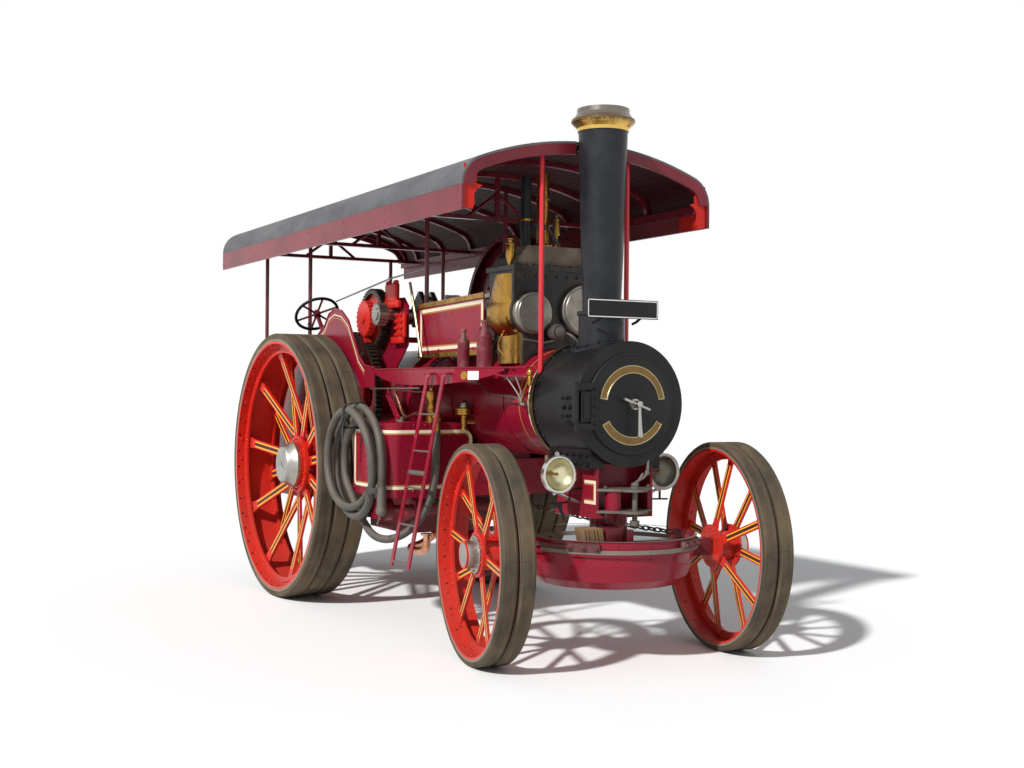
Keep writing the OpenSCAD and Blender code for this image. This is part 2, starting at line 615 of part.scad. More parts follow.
ladder_x = min(2110, wheelbase - front_r - 352);
ladder_top = [ladder_x, -board_y - 24, board_z - 30];
ladder_foot = [ladder_x - 70, -938, 500];
ladder_w = 262;
rail_w = 45;
rail_t = 12;
module ladder() from_axle() color("firebrick") {
    // Flat stringers, hooked over the board, and six rungs: share of the way down
    run = ladder_foot - ladder_top;
    for (x = [0, ladder_w]) {
        translate(ladder_top + [x, 0, 0]) rotate([-atan2(run[1], run[2]) - 180, 0, 0])
            rotate([0, -atan(run[0] / norm([run[1], run[2]])), 0])
                translate([-rail_w / 2, -rail_t / 2, -norm(run)]) cube([rail_w, rail_t, norm(run)]);
        translate(ladder_top + [x - rail_w / 2, -rail_t / 2, -20])
            cube([rail_w, rail_t, 50 + fit + rail_t]);
        translate(ladder_top + [x - rail_w / 2, -rail_t / 2, 30 + fit]) cube([rail_w, 130, rail_t]);
    }
    for (t = [0.1, 0.29, 0.42, 0.52, 0.72, 0.93]) {
        p = ladder_top + t * run;
        rod(p, p + [ladder_w, 0, 0], t == 0.42 ? 34 : 16);
    }
}
tender_x0 = -1750;
tender_y = 654;
module tender() from_axle() color("maroon") {
    // Side sheets beside the footplate
    for (y = [-tender_y, tender_y + 6]) plate_xz(y, 6) polygon([[-1150, 760], [-640, 760],
        [-500, 1700], [110, 1700], [110, 1740], [-60, 1840], [-350, 1990], [-1150, 1990]]);
    // Footplate between the hornplates
    translate([horn_x0, -horn_in + fit, 1240]) cube([105 - horn_x0, horn_gap - 2 * fit, 10]);
    // Water space
    translate([0, 0, 740]) linear_extrude(510) tender_plan(horn_x0 - fit);
    // Coal bunker, open above, with a rolled rim
    difference() {
        translate([0, 0, 1250]) linear_extrude(730) tender_plan(bunker_x1);
        translate([0, 0, 1300]) linear_extrude(700) tender_plan(bunker_x1 - 6, -6);
    }
    translate([0, 0, 1960]) linear_extrude(30) difference() {
        tender_plan(bunker_x1 + 10, 10);
        tender_plan(bunker_x1, 0);
    }
}
bunker_x1 = -990;
// Plan of the tender up to x1, its rear corners rounded, grown all round
module tender_plan(x1, grow = 0) {
    corner = 70;
    translate([tender_x0 + corner, -tender_y - grow])
        square([x1 - tender_x0 - corner, 2 * (tender_y + grow)]);
    translate([tender_x0 - grow, corner - tender_y])
        square([corner + grow + 1, 2 * (tender_y - corner)]);
    for (s = [-1, 1]) translate([tender_x0 + corner, s * (tender_y - corner)])
        circle(r = corner + grow);
}
drawbar_x = -1880;
drawbar_hole = 22.5;
module drawbar() from_axle() color("#333333") difference() {
    union() {
        for (z = [700, 800]) {
            translate([drawbar_x, -90, z]) cube([tender_x0 - drawbar_x - 15, 180, 22]);
            translate([drawbar_x, 0, z]) cylinder(h = 22, r = 90);
        }
        translate([tender_x0 - 16, -160, 690]) cube([16 - fit, 320, 170]);
    }
    translate([drawbar_x, 0, 690]) cylinder(h = 150, r = drawbar_hole);
}

// Canopy: a section in Y and Z made of the crown's arc and a tight arc at each shoulder
shoulder_z = canopy_z0 + board_h;
rise = canopy_z1 - shoulder_z;
inner_y = canopy_y - shoulder_r;
crown_r = (inner_y * inner_y + rise * rise - shoulder_r * shoulder_r) / (2 * (rise - shoulder_r));
crown_z = canopy_z1 - crown_r;
tangent = atan2(inner_y, shoulder_z - crown_z);
module roof_section(t) {
    intersection() {
        translate([0, crown_z]) circle(r = crown_r - t, $fn = 360);
        polygon([[0, crown_z], [2 * crown_r * sin(tangent), crown_z + 2 * crown_r * cos(tangent)],
            [-2 * crown_r * sin(tangent), crown_z + 2 * crown_r * cos(tangent)]]);
        translate([-canopy_y, shoulder_z]) square([2 * canopy_y, 1000]);
    }
    for (s = [-1, 1]) intersection() {
        translate([s * inner_y, shoulder_z]) circle(r = shoulder_r - t);
        translate([-canopy_y, shoulder_z]) square([2 * canopy_y, 1000]);
    }
}
module roof_band(t0, t1) difference() {
    roof_section(t0);
    roof_section(t1);
    translate([-inner_y, shoulder_z - 1]) square([2 * inner_y, 60]);
}
// Room for the chimney at the canopy's front edge
module chimney_gap() translate([chimney_x, 0, canopy_z0 - 100])
    cylinder(h = 800, r = chimney_r1 + 20);
module canopy_roof() from_axle() color("slategray") difference() {
    plate_yz(canopy_x0, canopy_x1 - canopy_x0) roof_band(0, roof_t);
    chimney_gap();
}
module canopy_boards() from_axle() color("maroon") difference() {
    canopy_panels();
    chimney_gap();
}
module canopy_panels() {
    for (y = [-canopy_y, canopy_y - 20]) translate([canopy_x0, y, canopy_z0])
        cube([canopy_x1 - canopy_x0, 20, board_h]);
    // End boards under the roof's edge
    for (x = [canopy_x0, canopy_x1 - 20]) plate_yz(x, 20) difference() {
        roof_band(roof_t, roof_t + 70);
        for (s = [-1, 1]) translate([s * (canopy_y - 10) - 10, shoulder_z - 1]) square([20, 1]);
    }
}
// Ribs under the roof, and those of them that have a tie across
rib_w = 40;
rib_h = 36;
rib_x = [-1930, -1650, -1065, -480, 380, 1240, 1730, 2340, 2950];
tie_x = [-1650, -480, 1730];
tie_z = shoulder_z - 30;
function roof_under(y) = crown_z + sqrt(pow(crown_r - roof_t - rib_h, 2) - y * y);
module canopy_frame() from_axle() color("#5a1a20") {
    for (x = rib_x) plate_yz(x - rib_w / 2, rib_w) roof_band(roof_t + fit, roof_t + rib_h);
    // Rails along the canopy inside the boards
    for (s = [-1, 1]) translate([canopy_x0 + 20 + fit, s * (canopy_y - 43) - 20, shoulder_z - 50])
        cube([canopy_x1 - canopy_x0 - 40 - 2 * fit, 40, 56]);
    for (x = tie_x) {
        translate([x - rib_w / 2, -canopy_y + 60, tie_z]) cube([rib_w, 2 * canopy_y - 120, 30]);
        // King post and struts up to the crown
        translate([x - 15, -15, tie_z + 29]) cube([30, 30, roof_under(0) - tie_z - 20]);
        for (s = [-1, 1]) rod([x, s * 250, tie_z + 20], [x, s * 5, tie_z + 200], 26);
    }
}
post_r = 17;
module canopy_posts() from_axle() color("#c4232b") difference() {
    // Posts: x, y, foot, head
    union() for (post = [[2950, 330, 1800, roof_under(330 + post_r)],
            [1240, cover_y - 4 - post_r - fit, 1950, roof_under(cover_y)],
            [-480, tender_y - post_r - fit, 1700, tie_z],
            [-1650, tender_y - 6 - post_r - fit, 1400, tie_z]]) for (s = [-1, 1])
        translate([post[0], s * post[1], post[2]]) cylinder(h = post[3] - post[2], r = post_r);
    drum_x(smokebox_x0 - 1, smokebox_x1, 0, boiler_z, smokebox_r + 9 + fit);
}

// Steering
wheel_c = [-250, -660, 2320];
worm_c = [1090, -640, 880];
module steering_shaft() from_axle() color("firebrick") {
    u = (worm_c - wheel_c) / norm(worm_c - wheel_c);
    rod(wheel_c + 30.5 * u, worm_c + 60 * u, 36);
    rod(worm_c - 60 * u, worm_c + 60 * u, 84);
    // Chain barrel across the engine, with its worm wheel
    drum_y(barrel_shaft[0], barrel_shaft[1], -640, 440, 24);
    drum_y(barrel_shaft[0], barrel_shaft[1], -340, 340, 60);
    drum_y(barrel_shaft[0], barrel_shaft[1], -655, -600, 88);
    // Guide of the sloping shaft on the splasher's inner face
    guide = wheel_c + 400 * u;
    drum_y(guide[0], guide[2], -691 + fit, guide[1], 15);
}
module steering_wheel() from_axle() color("#7a1d1d") {
    u = (worm_c - wheel_c) / norm(worm_c - wheel_c);
    tilt = acos(u[2]);
    translate(wheel_c) rotate([0, tilt, atan2(u[1], u[0])]) {
        rotate_extrude($fn = 72) translate([180, 0]) circle(r = 12, $fn = 16);
        translate([0, 0, -20]) cylinder(h = 50, r = 30);
        for (i = [0:5]) rotate([0, 90, i * 60]) translate([0, 0, 20]) cylinder(h = 156, r = 9);
    }
}
// Each chain runs from the barrel to where it meets the tray's ring
chain_end = [wheelbase - 80, 566, 754];
module steering_chains() from_axle() color("#4d4039") for (s = [-1, 1]) difference() {
    rod([barrel_shaft[0], s * 270, barrel_shaft[1] + 72], [chain_end[0], s * chain_end[1],
        chain_end[2]], 22);
    drum_y(barrel_shaft[0], barrel_shaft[1], -400, 400, 60 + fit);
}
module steer_box(x0, y0, z0, x1, y1, z1) translate([x0, y0, z0]) cube([x1 - x0, y1 - y0, z1 - z0]);
module front_axle() steered() color("firebrick") {
    difference() {
        union() {
            steer_box(-45, -front_mid + front_w / 2 + 24, axle_z - 55, 45,
                front_mid - front_w / 2 - 24, axle_z + 55);
            translate([0, 0, axle_z + 50]) cylinder(h = 840 - axle_z - 50, r = 120);
            drum_y(0, axle_z, -front_mid - front_w / 2 + 10, front_mid + front_w / 2 - 10, stub_r);
        }
        translate([0, 0, 600]) cylinder(h = 300, r = 30 + running);
    }
}
module tray_profile() polygon([[0, 490], [440, 490], [500, 540], [535, 640], [542, 700], [562, 700],
    [562, 716], [tray_r, 716], [tray_r, tray_top], [tray_r - 14, tray_top], [tray_r - 14, 700],
    [524, 640], [488, 546], [436, 502], [0, 502]]);
module fore_tray() steered() color("crimson") difference() {
    intersection() {
        rotate_extrude($fn = 96) tray_profile();
        steer_box(-120, -700, 400, 700, 700, 900);
    }
    steer_box(-45 - fit, -700, axle_z - 55 - fit, 45 + fit, 700, axle_z + 55 + fit);
}
module chain_clamps() steered() color("#4d4039") {
    // Chain laid round the tray's band on each side, and the bolted clamp at its end
    for (s = [-1, 1]) scale([1, s, 1]) {
        rotate([0, 0, 48]) rotate_extrude(angle = 29, $fn = 96)
            translate([tray_r + fit, 742]) square([20, 24]);
        rotate([0, 0, 29]) rotate_extrude(angle = 19.5, $fn = 96)
            translate([tray_r + fit, 730]) square([26, 46]);
    }
}
lamp_x = wheelbase + 55;
module head_lamps() from_axle() color("lightgray") for (s = [-1, 1]) {
    translate([lamp_x, s * 394, 1170]) rotate([0, -90, 0]) rotate_extrude($fn = 72)
        polygon([[0, 110], [56, 99], [96, 66], [110, 30], [110, 4], [113, 0], [120, 0], [120, 30],
            [104, 70], [60, 108], [0, 120]]);
    rod([lamp_x - 60, s * 394, 1060], [lamp_x - 60, s * (perch_y + 4), 985], 20);
    translate([lamp_x - 60, s * 394, 1040]) cylinder(h = 30, r = 16);
}
module boiler_fittings() from_axle() color("goldenrod") {
    // Filling valve on the tank's right wing: x, y, height
    for (valve = [[1410, -550, 120]]) {
        translate([valve[0], valve[1], tank_z1]) cylinder(h = 30, r = 34);
        translate([valve[0], valve[1], tank_z1 + 29]) cylinder(h = valve[2] - 50, r = 22);
        translate([valve[0], valve[1], tank_z1 + valve[2] - 25]) cylinder(h = 25, r = 34);
    }
    // Check valve on the barrel's side
    difference() {
        union() {
            rod([1955, -300, 1560], [1955, -405, 1560], 44);
            translate([1955, -405, 1480]) cylinder(h = 130, r = 24);
            translate([1955, -405, 1470]) cylinder(h = 22, r = 36);
            translate([1955, -405, 1590]) cylinder(h = 46, r = 34);
        }
        drum_x(1900, 2000, 0, boiler_z, barrel_r + fit);
    }
    // Drain bend under the tank, open in front
    rod([1690, -750, tank_z0 - fit], [1690, -750, 565], 60);
    translate([1690, -750, 565]) sphere(r = 30);
    rod([1690, -750, 565], [2095, -750, 565], 60);
    translate([2095, -750, 565]) sphere(r = 30);
    rod([2095, -750, 565], [2095, -750, 690], 60);
    translate([2095, -750, 678]) cylinder(h = 14, r = 44);
}

// Suction hose: down from the union on the tank, then coiled on the tank's side
hose_d = 56;
coil_c = [1535, -1043, 1165];
coil_r0 = 256;
coil_r1 = 420;
coil_w = 155;
hose_route = [[1972, -600, 1400 - fit], [1972, -600, 1350], [1979, -605, 1240],
    [1987, -614, 1120], [1991, -632, 1010], [1990, -662, 905], [1976, -712, 805],
    [1945, -775, 723], [1894, -838, 667], [1822, -893, 640], [1735, -931, 642],
    [1645, -952, 672], [1608, -957, 694]];
module hose_union() from_axle() color("goldenrod") {
    // Union above the hose, pipe back over the tank, and the water lifter
    bend = [1976, -600, tank_z1 + 35];
    translate([1972, -600, 1400]) cylinder(h = tank_z1 + 10 - 1400, r = 30);
    translate(bend) sphere(r = 34);
    rod(bend, [1800, -560, tank_z1 + 60], 44);
    translate([1800, -560, tank_z1]) cylinder(h = 60, r = 34);
    translate([1800, -560, tank_z1 + 59]) cylinder(h = 130, r = 26);
    translate([1800, -560, tank_z1 + 180]) cylinder(h = 40, r = 38);
}
function ring(p, u, r, n) = let (a = abs(u[2]) > 0.9 ? [1, 0, 0] : [0, 0, 1],
    v = cross(u, a) / norm(cross(u, a)), w = cross(u, v))
    [for (i = [0:n - 1]) p + r * (cos(i * 360 / n) * v + sin(i * 360 / n) * w)];
module hose_run() from_axle() color("dimgray") {
    n = 10;
    last = len(hose_route) - 1;
    points = [for (i = [0:last]) each ring(hose_route[i],
        let (d = i == 0 ? [0, 0, -1] : hose_route[min(i + 1, last)] - hose_route[i - 1]) d / norm(d),
        hose_d / 2, n)];
    sides = [for (i = [0:last - 1]) for (j = [0:n - 1])
        [i * n + j, i * n + (j + 1) % n, (i + 1) * n + (j + 1) % n, (i + 1) * n + j]];
    polyhedron(points, concat([[for (j = [n - 1:-1:0]) j]], sides,
        [[for (j = [0:n - 1]) last * n + j]]));
}
module hose_coil() from_axle() color("dimgray") translate(coil_c) rotate([90, 0, 0])
    translate([0, 0, -coil_w / 2]) rotate_extrude($fn = 96)
        translate([coil_r0, 0]) square([coil_r1 - coil_r0, coil_w]);
// Sleeve and foot valve on the hose's end in front of the coil, shaped to the coil
module hose_strainer() from_axle() color("gray") difference() {
    translate([coil_c[0] + 402, coil_c[1] + 43, coil_c[2] - 350]) {
        translate([0, 0, 60]) cylinder(h = 140, r = 31);
        rotate_extrude() polygon([[0, 0], [20, 3], [33, 16], [38, 34], [36, 52], [26, 66], [0, 68]]);
        rod([0, 0, 12], [-30, -18, -60], 12);
    }
    translate(coil_c) rotate([90, 0, 0]) cylinder(h = 300, r = coil_r1 + fit, center = true, $fn = 96);
}
hook_z = coil_c[2] + coil_r0 - 7 - fit;
module hose_hook() from_axle() color("#222222") {
    rod([coil_c[0], -tank_y - fit, hook_z], [coil_c[0], coil_c[1] - coil_w / 2 - 14, hook_z], 14);
    rod([coil_c[0], coil_c[1] - coil_w / 2 - 14, hook_z - 4],
        [coil_c[0], coil_c[1] - coil_w / 2 - 14, hook_z + 60], 14);
}

boiler_barrel();
firebox();
hornplates();
smokebox();
chimney();
chimney_cap();
perch_bracket();
towing_fork();
water_tank();
cylinder_block();
cylinder_cladding();
steam_column();
motion_covers();
motion_rods();
gear_train();
splasher();
running_boards();
ladder();
tender();
drawbar();
rear_axle();
canopy_roof();
canopy_boards();
canopy_frame();
canopy_posts();
steering_shaft();
steering_chains();
head_lamps();
boiler_fittings();
hose_union();
hose_run();
hose_coil();
hose_strainer();
hose_hook();
smokebox_door();
door_handle();
crankshaft();
flywheel();
steering_wheel();
front_axle();
fore_tray();
chain_clamps();
rear_wheel_right();
rear_tyre_right();
rear_wheel_left();
rear_tyre_left();
front_wheel_right();
front_tyre_right();
front_wheel_left();
front_tyre_left();
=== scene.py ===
"""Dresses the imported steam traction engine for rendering."""
import logging
from dataclasses import dataclass, field
from enum import Enum
from math import acos, atan2, cos, hypot, pi, radians, sin, sqrt
from typing import Callable, Iterable, Optional, Sequence, Union

import bpy
from mathutils import Matrix, Vector


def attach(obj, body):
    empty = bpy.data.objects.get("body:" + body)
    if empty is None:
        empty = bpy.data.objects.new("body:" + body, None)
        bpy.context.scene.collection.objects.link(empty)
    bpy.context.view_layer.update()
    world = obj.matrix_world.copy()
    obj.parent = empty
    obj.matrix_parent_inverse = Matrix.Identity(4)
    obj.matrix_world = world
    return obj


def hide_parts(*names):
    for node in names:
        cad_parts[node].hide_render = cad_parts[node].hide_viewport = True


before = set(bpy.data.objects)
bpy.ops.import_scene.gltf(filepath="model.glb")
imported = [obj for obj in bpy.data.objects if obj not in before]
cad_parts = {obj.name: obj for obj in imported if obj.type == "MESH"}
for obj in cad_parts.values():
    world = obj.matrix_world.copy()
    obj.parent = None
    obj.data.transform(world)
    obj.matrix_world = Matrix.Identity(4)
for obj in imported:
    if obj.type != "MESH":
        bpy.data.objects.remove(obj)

log = logging.getLogger("traction_engine")
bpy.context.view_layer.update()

MM = 0.001
AXLE_X = 1.0365769205
KING_PIN = 3255.0
STEER_REST = radians(-9.46)
BOILER_Z = 1609.0
CRANK_X, CRANK_Z = 850.0, 2270.0
REAR_MID, REAR_RADIUS = 923.5, 1067.0
FRONT_MID, FRONT_RADIUS = 842.5, 680.0
Point = Sequence[float]
Colour = tuple[float, float, float]

# Millimetres ahead of the rear axle, to the row frame in metres
ENGINE = Matrix.Translation((-AXLE_X, 0.0, 0.0)) @ Matrix.Scale(MM, 4)
CARRIAGE = (Matrix.Translation((KING_PIN * MM - AXLE_X, 0.0, 0.0))
            @ Matrix.Rotation(STEER_REST, 4, "Z") @ Matrix.Scale(MM, 4))


class Body(Enum):
    """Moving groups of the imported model."""

    ENGINE = "engine"
    DOOR = "smokebox_door"
    CRANK = "crankshaft"
    HAND_WHEEL = "steering_wheel"
    FORE = "fore_carriage"
    FRONT_RIGHT = "front_right"
    FRONT_LEFT = "front_left"
    REAR_RIGHT = "rear_right"
    REAR_LEFT = "rear_left"


class Slot(Enum):
    """Material slots of the record."""

    CRIMSON = "crimson_paint"
    MAROON = "maroon_paint"
    VERMILION = "vermilion_paint"
    BLACK = "black_iron"
    OILY = "oily_iron"
    STEEL = "bright_steel"
    LAMP = "lamp_metal"
    BRASS = "brass"
    COPPER = "copper_cap"
    RUBBER = "solid_rubber"
    HOSE = "hose_rubber"
    CANVAS = "roof_canvas"
    WOOD = "painted_wood"


# Shaders


@dataclass(frozen=True)
class Sock:
    """One output of a node tree, with arithmetic."""

    shader: "Shader"
    out: bpy.types.NodeSocket

    def do(self, operation: str, *others: Union["Sock", float], clamp: bool = False) -> "Sock":
        """Adds a Math node.

        Args:
            operation: the Math node's operation.
            others: its inputs after this one, in order.
            clamp: keeps the result between 0 and 1.

        Returns:
            The node's result.
        """
        return self.shader.node("ShaderNodeMath", {"operation": operation, "use_clamp": clamp},
                                dict(enumerate((self, *others))))

    def __add__(self, other: Union["Sock", float]) -> "Sock":
        """Sum."""
        return self.do("ADD", other)

    def __sub__(self, other: Union["Sock", float]) -> "Sock":
        """Difference."""
        return self.do("SUBTRACT", other)

    def __rsub__(self, other: float) -> "Sock":
        """Difference, reflected."""
        return self.shader.node("ShaderNodeMath", {"operation": "SUBTRACT"}, {0: other, 1: self})

    def __mul__(self, other: Union["Sock", float]) -> "Sock":
        """Product."""
        return self.do("MULTIPLY", other)

    def clamped(self) -> "Sock":
        """Kept between 0 and 1."""
        return self.do("ADD", 0.0, clamp=True)

    def ramp(self, low: float, high: float) -> "Sock":
        """0 at low and below, 1 at high and above, or the other way round."""
        return self.shader.node("ShaderNodeMapRange", {"clamp": True},
                                {"Value": self, "From Min": low, "From Max": high})


class Shader:
    """A material's node tree while it is written."""

    def __init__(self, name: str) -> None:
        """Starts a material with one Principled BSDF.

        Args:
            name: the material's name.
        """
        self.material = bpy.data.materials.new(name)
        self.material.use_nodes = True
        self.tree = self.material.node_tree
        self.bsdf = self.tree.nodes["Principled BSDF"]

    def node(self, kind: str, settings: Optional[dict] = None, inputs: Optional[dict] = None,
             out: Union[int, str] = 0) -> Sock:
        """Adds a node.

        Args:
            kind: its type.
            settings: its properties, set first.
            inputs: values or links by socket name or number.
            out: the output that is wanted.

        Returns:
            That output.
        """
        made = self.tree.nodes.new(kind)
        for key, value in (settings or {}).items():
            setattr(made, key, value)
        for key, value in (inputs or {}).items():
            self.feed(made.inputs[key], value)
        return Sock(self, made.outputs[out])

    def feed(self, socket: bpy.types.NodeSocket, value: object) -> None:
        """Links a Sock to a socket, or sets its value.

        Args:
            socket: an input.
            value: what it gets.
        """
        if isinstance(value, Sock):
            self.tree.links.new(value.out, socket)
        elif isinstance(value, tuple) and len(value) == 3 and socket.type == "RGBA":
            socket.default_value = (*value, 1.0)
        else:
            socket.default_value = value

    def mix(self, factor: Union[Sock, float], first: Union[Sock, Colour],
            second: Union[Sock, Colour]) -> Sock:
        """Blends two colours.

        Args:
            factor: 0 for the first, 1 for the second.
            first: a colour.
            second: a colour.

        Returns:
            The blend.
        """
        made = self.tree.nodes.new("ShaderNodeMix")
        made.data_type = "RGBA"
        self.feed(made.inputs[0], factor)
        self.feed(made.inputs[6], first)
        self.feed(made.inputs[7], second)
        return Sock(self, made.outputs[2])

    def object_point(self) -> Sock:
        """Object coordinates."""
        return self.node("ShaderNodeTexCoord", out="Object")

    def moved(self, centre: Point, turn: float = 0.0, scale: Point = (1, 1, 1)) -> Sock:
        """Object coordinates about a centre, turned back about Z, then scaled.

        Args:
            centre: the new origin.
            turn: the angle that is turned back.
            scale: the factor along each axis.

        Returns:
            The coordinates.
        """
        offset = self.node("ShaderNodeMapping", {"vector_type": "POINT"},
                           {"Vector": self.object_point(), "Location": tuple(-c for c in centre)})
        turned = self.node("ShaderNodeMapping", {"vector_type": "POINT"},
                           {"Vector": offset, "Rotation": (0.0, 0.0, -turn)})
        return self.node("ShaderNodeMapping", {"vector_type": "POINT"},
                         {"Vector": turned, "Scale": tuple(scale)})

    def axis(self, vector: Sock, which: int) -> Sock:
        """One of a vector's three parts."""
        return self.node("ShaderNodeSeparateXYZ", inputs={0: vector}, out=which)

    def noise(self, vector: Sock, scale: float, detail: float = 3.0, rough: float = 0.55) -> Sock:
        """Noise between 0 and 1."""
        return self.node("ShaderNodeTexNoise", inputs={
            "Vector": vector, "Scale": scale, "Detail": detail, "Roughness": rough}, out="Fac")

    def bump(self, height: Sock, strength: float, distance: float) -> Sock:
        """A bumped normal."""
        return self.node("ShaderNodeBump", inputs={
            "Height": height, "Strength": strength, "Distance": distance})

    def surface(self, **values: object) -> bpy.types.Material:
        """Feeds the BSDF's sockets by name, with _ for a blank, and returns the material.

        Args:
            values: a value or a Sock for each socket.

        Returns:
            The material.
        """
        for key, value in values.items():
            self.feed(self.bsdf.inputs[key.replace("_", " ")], value)
        return self.material


@dataclass(frozen=True)
class Paint:
    """Coach paint: clear gloss over colour, with road dust that grows toward the ground."""

    name: str
    colour: Colour
    shade: Colour
    dust: Colour = (0.2, 0.14, 0.1)
    dust_top: float = 1.3
    dust_most: float = 0.16
    roughness: float = 0.26
    coat: float = 0.09
    metallic: float = 0.0

    def build(self) -> bpy.types.Material:
        """Writes the material.

        Returns:
            The material.
        """
        s = Shader(self.name)
        here = s.object_point()
        cloud = s.noise(here, 2.6, 4.0)
        fine = s.noise(here, 46.0, 3.0, 0.65)
        colour = s.mix(cloud.ramp(0.3, 0.72), self.colour, self.shade)
        low = s.axis(here, 2).ramp(self.dust_top, 0.0)
        spread = (fine * 0.7 + cloud * 0.8).ramp(0.45, 1.05)
        dirt = ((low + 0.06) * spread * self.dust_most * 2.2).clamped()
        orange = s.noise(here, 320.0, 1.0)
        return s.surface(
            Base_Color=s.mix(dirt, colour, self.dust),
            Roughness=dirt * 0.6 + (fine * 0.1 + (self.roughness - 0.05)),
            Metallic=self.metallic, Coat_Weight=self.coat, Coat_Roughness=0.09,
            Specular_IOR_Level=0.2,
            Normal=s.bump(fine * 0.4 + orange * 0.25, 0.12, 0.001))


@dataclass(frozen=True)
class Iron:
    """Cast or rolled iron, painted or bare, with oil, soot and dust in patches."""

    name: str
    colour: Colour
    worn: Colour
    roughness: float = 0.5
    metallic: float = 0.0
    grain: float = 120.0
    depth: float = 0.25
    patch: float = 0.4

    def build(self) -> bpy.types.Material:
        """Writes the material.

        Returns:
            The material.
        """
        s = Shader(self.name)
        here = s.object_point()
        grain = s.noise(here, self.grain, 4.0, 0.7)
        patch = s.noise(here, 5.5, 5.0, 0.6).ramp(0.46, 0.72) * self.patch
        fleck = grain.ramp(0.58, 0.75) * 0.25
        return s.surface(
            Base_Color=s.mix((patch + fleck).clamped(), self.colour, self.worn),
            Roughness=(patch * 0.35 + grain * 0.16 + (self.roughness - 0.1)).clamped(),
            Metallic=self.metallic, Specular_IOR_Level=0.25,
            Normal=s.bump(grain, self.depth, 0.0015))


@dataclass(frozen=True)
class Polished:
    """Bright metal with wipe marks and a little tarnish."""

    name: str
    colour: Colour
    tarnish: Colour
    roughness: float = 0.16
    amount: float = 0.5

    def build(self) -> bpy.types.Material:
        """Writes the material.

        Returns:
            The material.
        """
        s = Shader(self.name)
        here = s.object_point()
        cloud = s.noise(here, 14.0, 5.0, 0.6).ramp(0.42, 0.8)
        wipe = s.noise(s.moved((0, 0, 0), scale=(6, 6, 60)), 9.0, 3.0)
        return s.surface(
            Base_Color=s.mix(cloud * self.amount, self.colour, self.tarnish),
            Roughness=cloud * 0.2 + (wipe * 0.12 + (self.roughness - 0.04)),
            Metallic=1.0, Normal=s.bump(wipe, 0.05, 0.0006))


@dataclass(frozen=True)
class Rubber:
    """Solid tyre rubber, dried mud over grey, streaked round the wheel."""

    name: str
    centre: Point
    turn: float
    rings: float

    def build(self) -> bpy.types.Material:
        """Writes the material.

        Returns:
            The material.
        """
        s = Shader(self.name)
        local = s.moved(self.centre, self.turn)
        x, y, z = (s.axis(local, i) for i in range(3))
        angle = x.do("ARCTAN2", z)
        radius = (x * x + z * z).do("SQRT")
        round_it = s.node("ShaderNodeCombineXYZ",
                          inputs={0: angle * 1.6, 1: y * 26.0, 2: radius * 26.0})
        streak = s.noise(round_it, 1.0, 5.0, 0.62)
        patch = s.noise(local, 3.4, 4.0, 0.6)
        grit = s.noise(local, 190.0, 3.0, 0.7)
        mud = (patch * 0.75 + streak * 0.6 + grit * 0.15).ramp(0.55, 0.92)
        colour = s.mix(mud, (0.036, 0.031, 0.025), (0.125, 0.09, 0.05))
        colour = s.mix(grit.ramp(0.55, 0.8) * 0.3, colour, (0.17, 0.13, 0.085))
        step = (y * (1.0 / self.rings) + 40.5).do("FLOOR")
        joint = (angle + step * 2.3 + 40.0).do("PINGPONG", pi / 4).ramp(0.0022, 0.0008)
        return s.surface(
            Base_Color=s.mix(joint, colour, (0.02, 0.018, 0.016)),
            Roughness=0.95 - mud * 0.12 - streak * 0.1, Specular_IOR_Level=0.25,
            Normal=s.bump(streak * 0.5 + grit * 0.35 + patch * 0.5 - joint * 2.0, 0.45, 0.003))


@dataclass(frozen=True)
class Plain:
    """A finish given by a function, for what is used once."""

    name: str
    write: Callable[[Shader], bpy.types.Material]

    def build(self) -> bpy.types.Material:
        """Writes the material."""
        return self.write(Shader(self.name))


def write_canvas(s: Shader) -> bpy.types.Material:
    """Tarred roof canvas: weave, weather stains and long seams.

    Args:
        s: the material's node tree.

    Returns:
        The material.
    """
    here = s.object_point()
    stain = s.noise(s.moved((0, 0, 0), scale=(1, 3.5, 2)), 2.4, 5.0, 0.6)
    weave = s.noise(here, 700.0, 1.0)
    seam = (s.axis(here, 0) * 1.35).do("PINGPONG", 0.5).ramp(0.012, 0.002)
    colour = s.mix(stain.ramp(0.35, 0.7), (0.055, 0.056, 0.062), (0.12, 0.12, 0.125))
    return s.surface(Base_Color=s.mix(seam * 0.5, colour, (0.03, 0.03, 0.034)),
                     Roughness=stain * 0.25 + 0.6,
                     Normal=s.bump(weave * 0.3 + stain * 0.6 + seam, 0.35, 0.002))


def write_boards(s: Shader) -> bpy.types.Material:
    """Painted boards: gloss maroon with the grain just showing through.

    Args:
        s: the material's node tree.

    Returns:
        The material.
    """
    here = s.object_point()
    grain = s.noise(s.moved((0, 0, 0), scale=(0.8, 22, 22)), 3.0, 5.0, 0.6)
    cloud = s.noise(here, 1.9, 3.0)
    colour = s.mix(cloud.ramp(0.35, 0.7), (0.115, 0.008, 0.016), (0.19, 0.017, 0.026))
    return s.surface(Base_Color=s.mix(grain.ramp(0.6, 0.8) * 0.3, colour, (0.3, 0.12, 0.1)),
                     Roughness=grain * 0.18 + 0.25, Coat_Weight=0.12, Specular_IOR_Level=0.3,
                     Normal=s.bump(grain, 0.1, 0.0015))


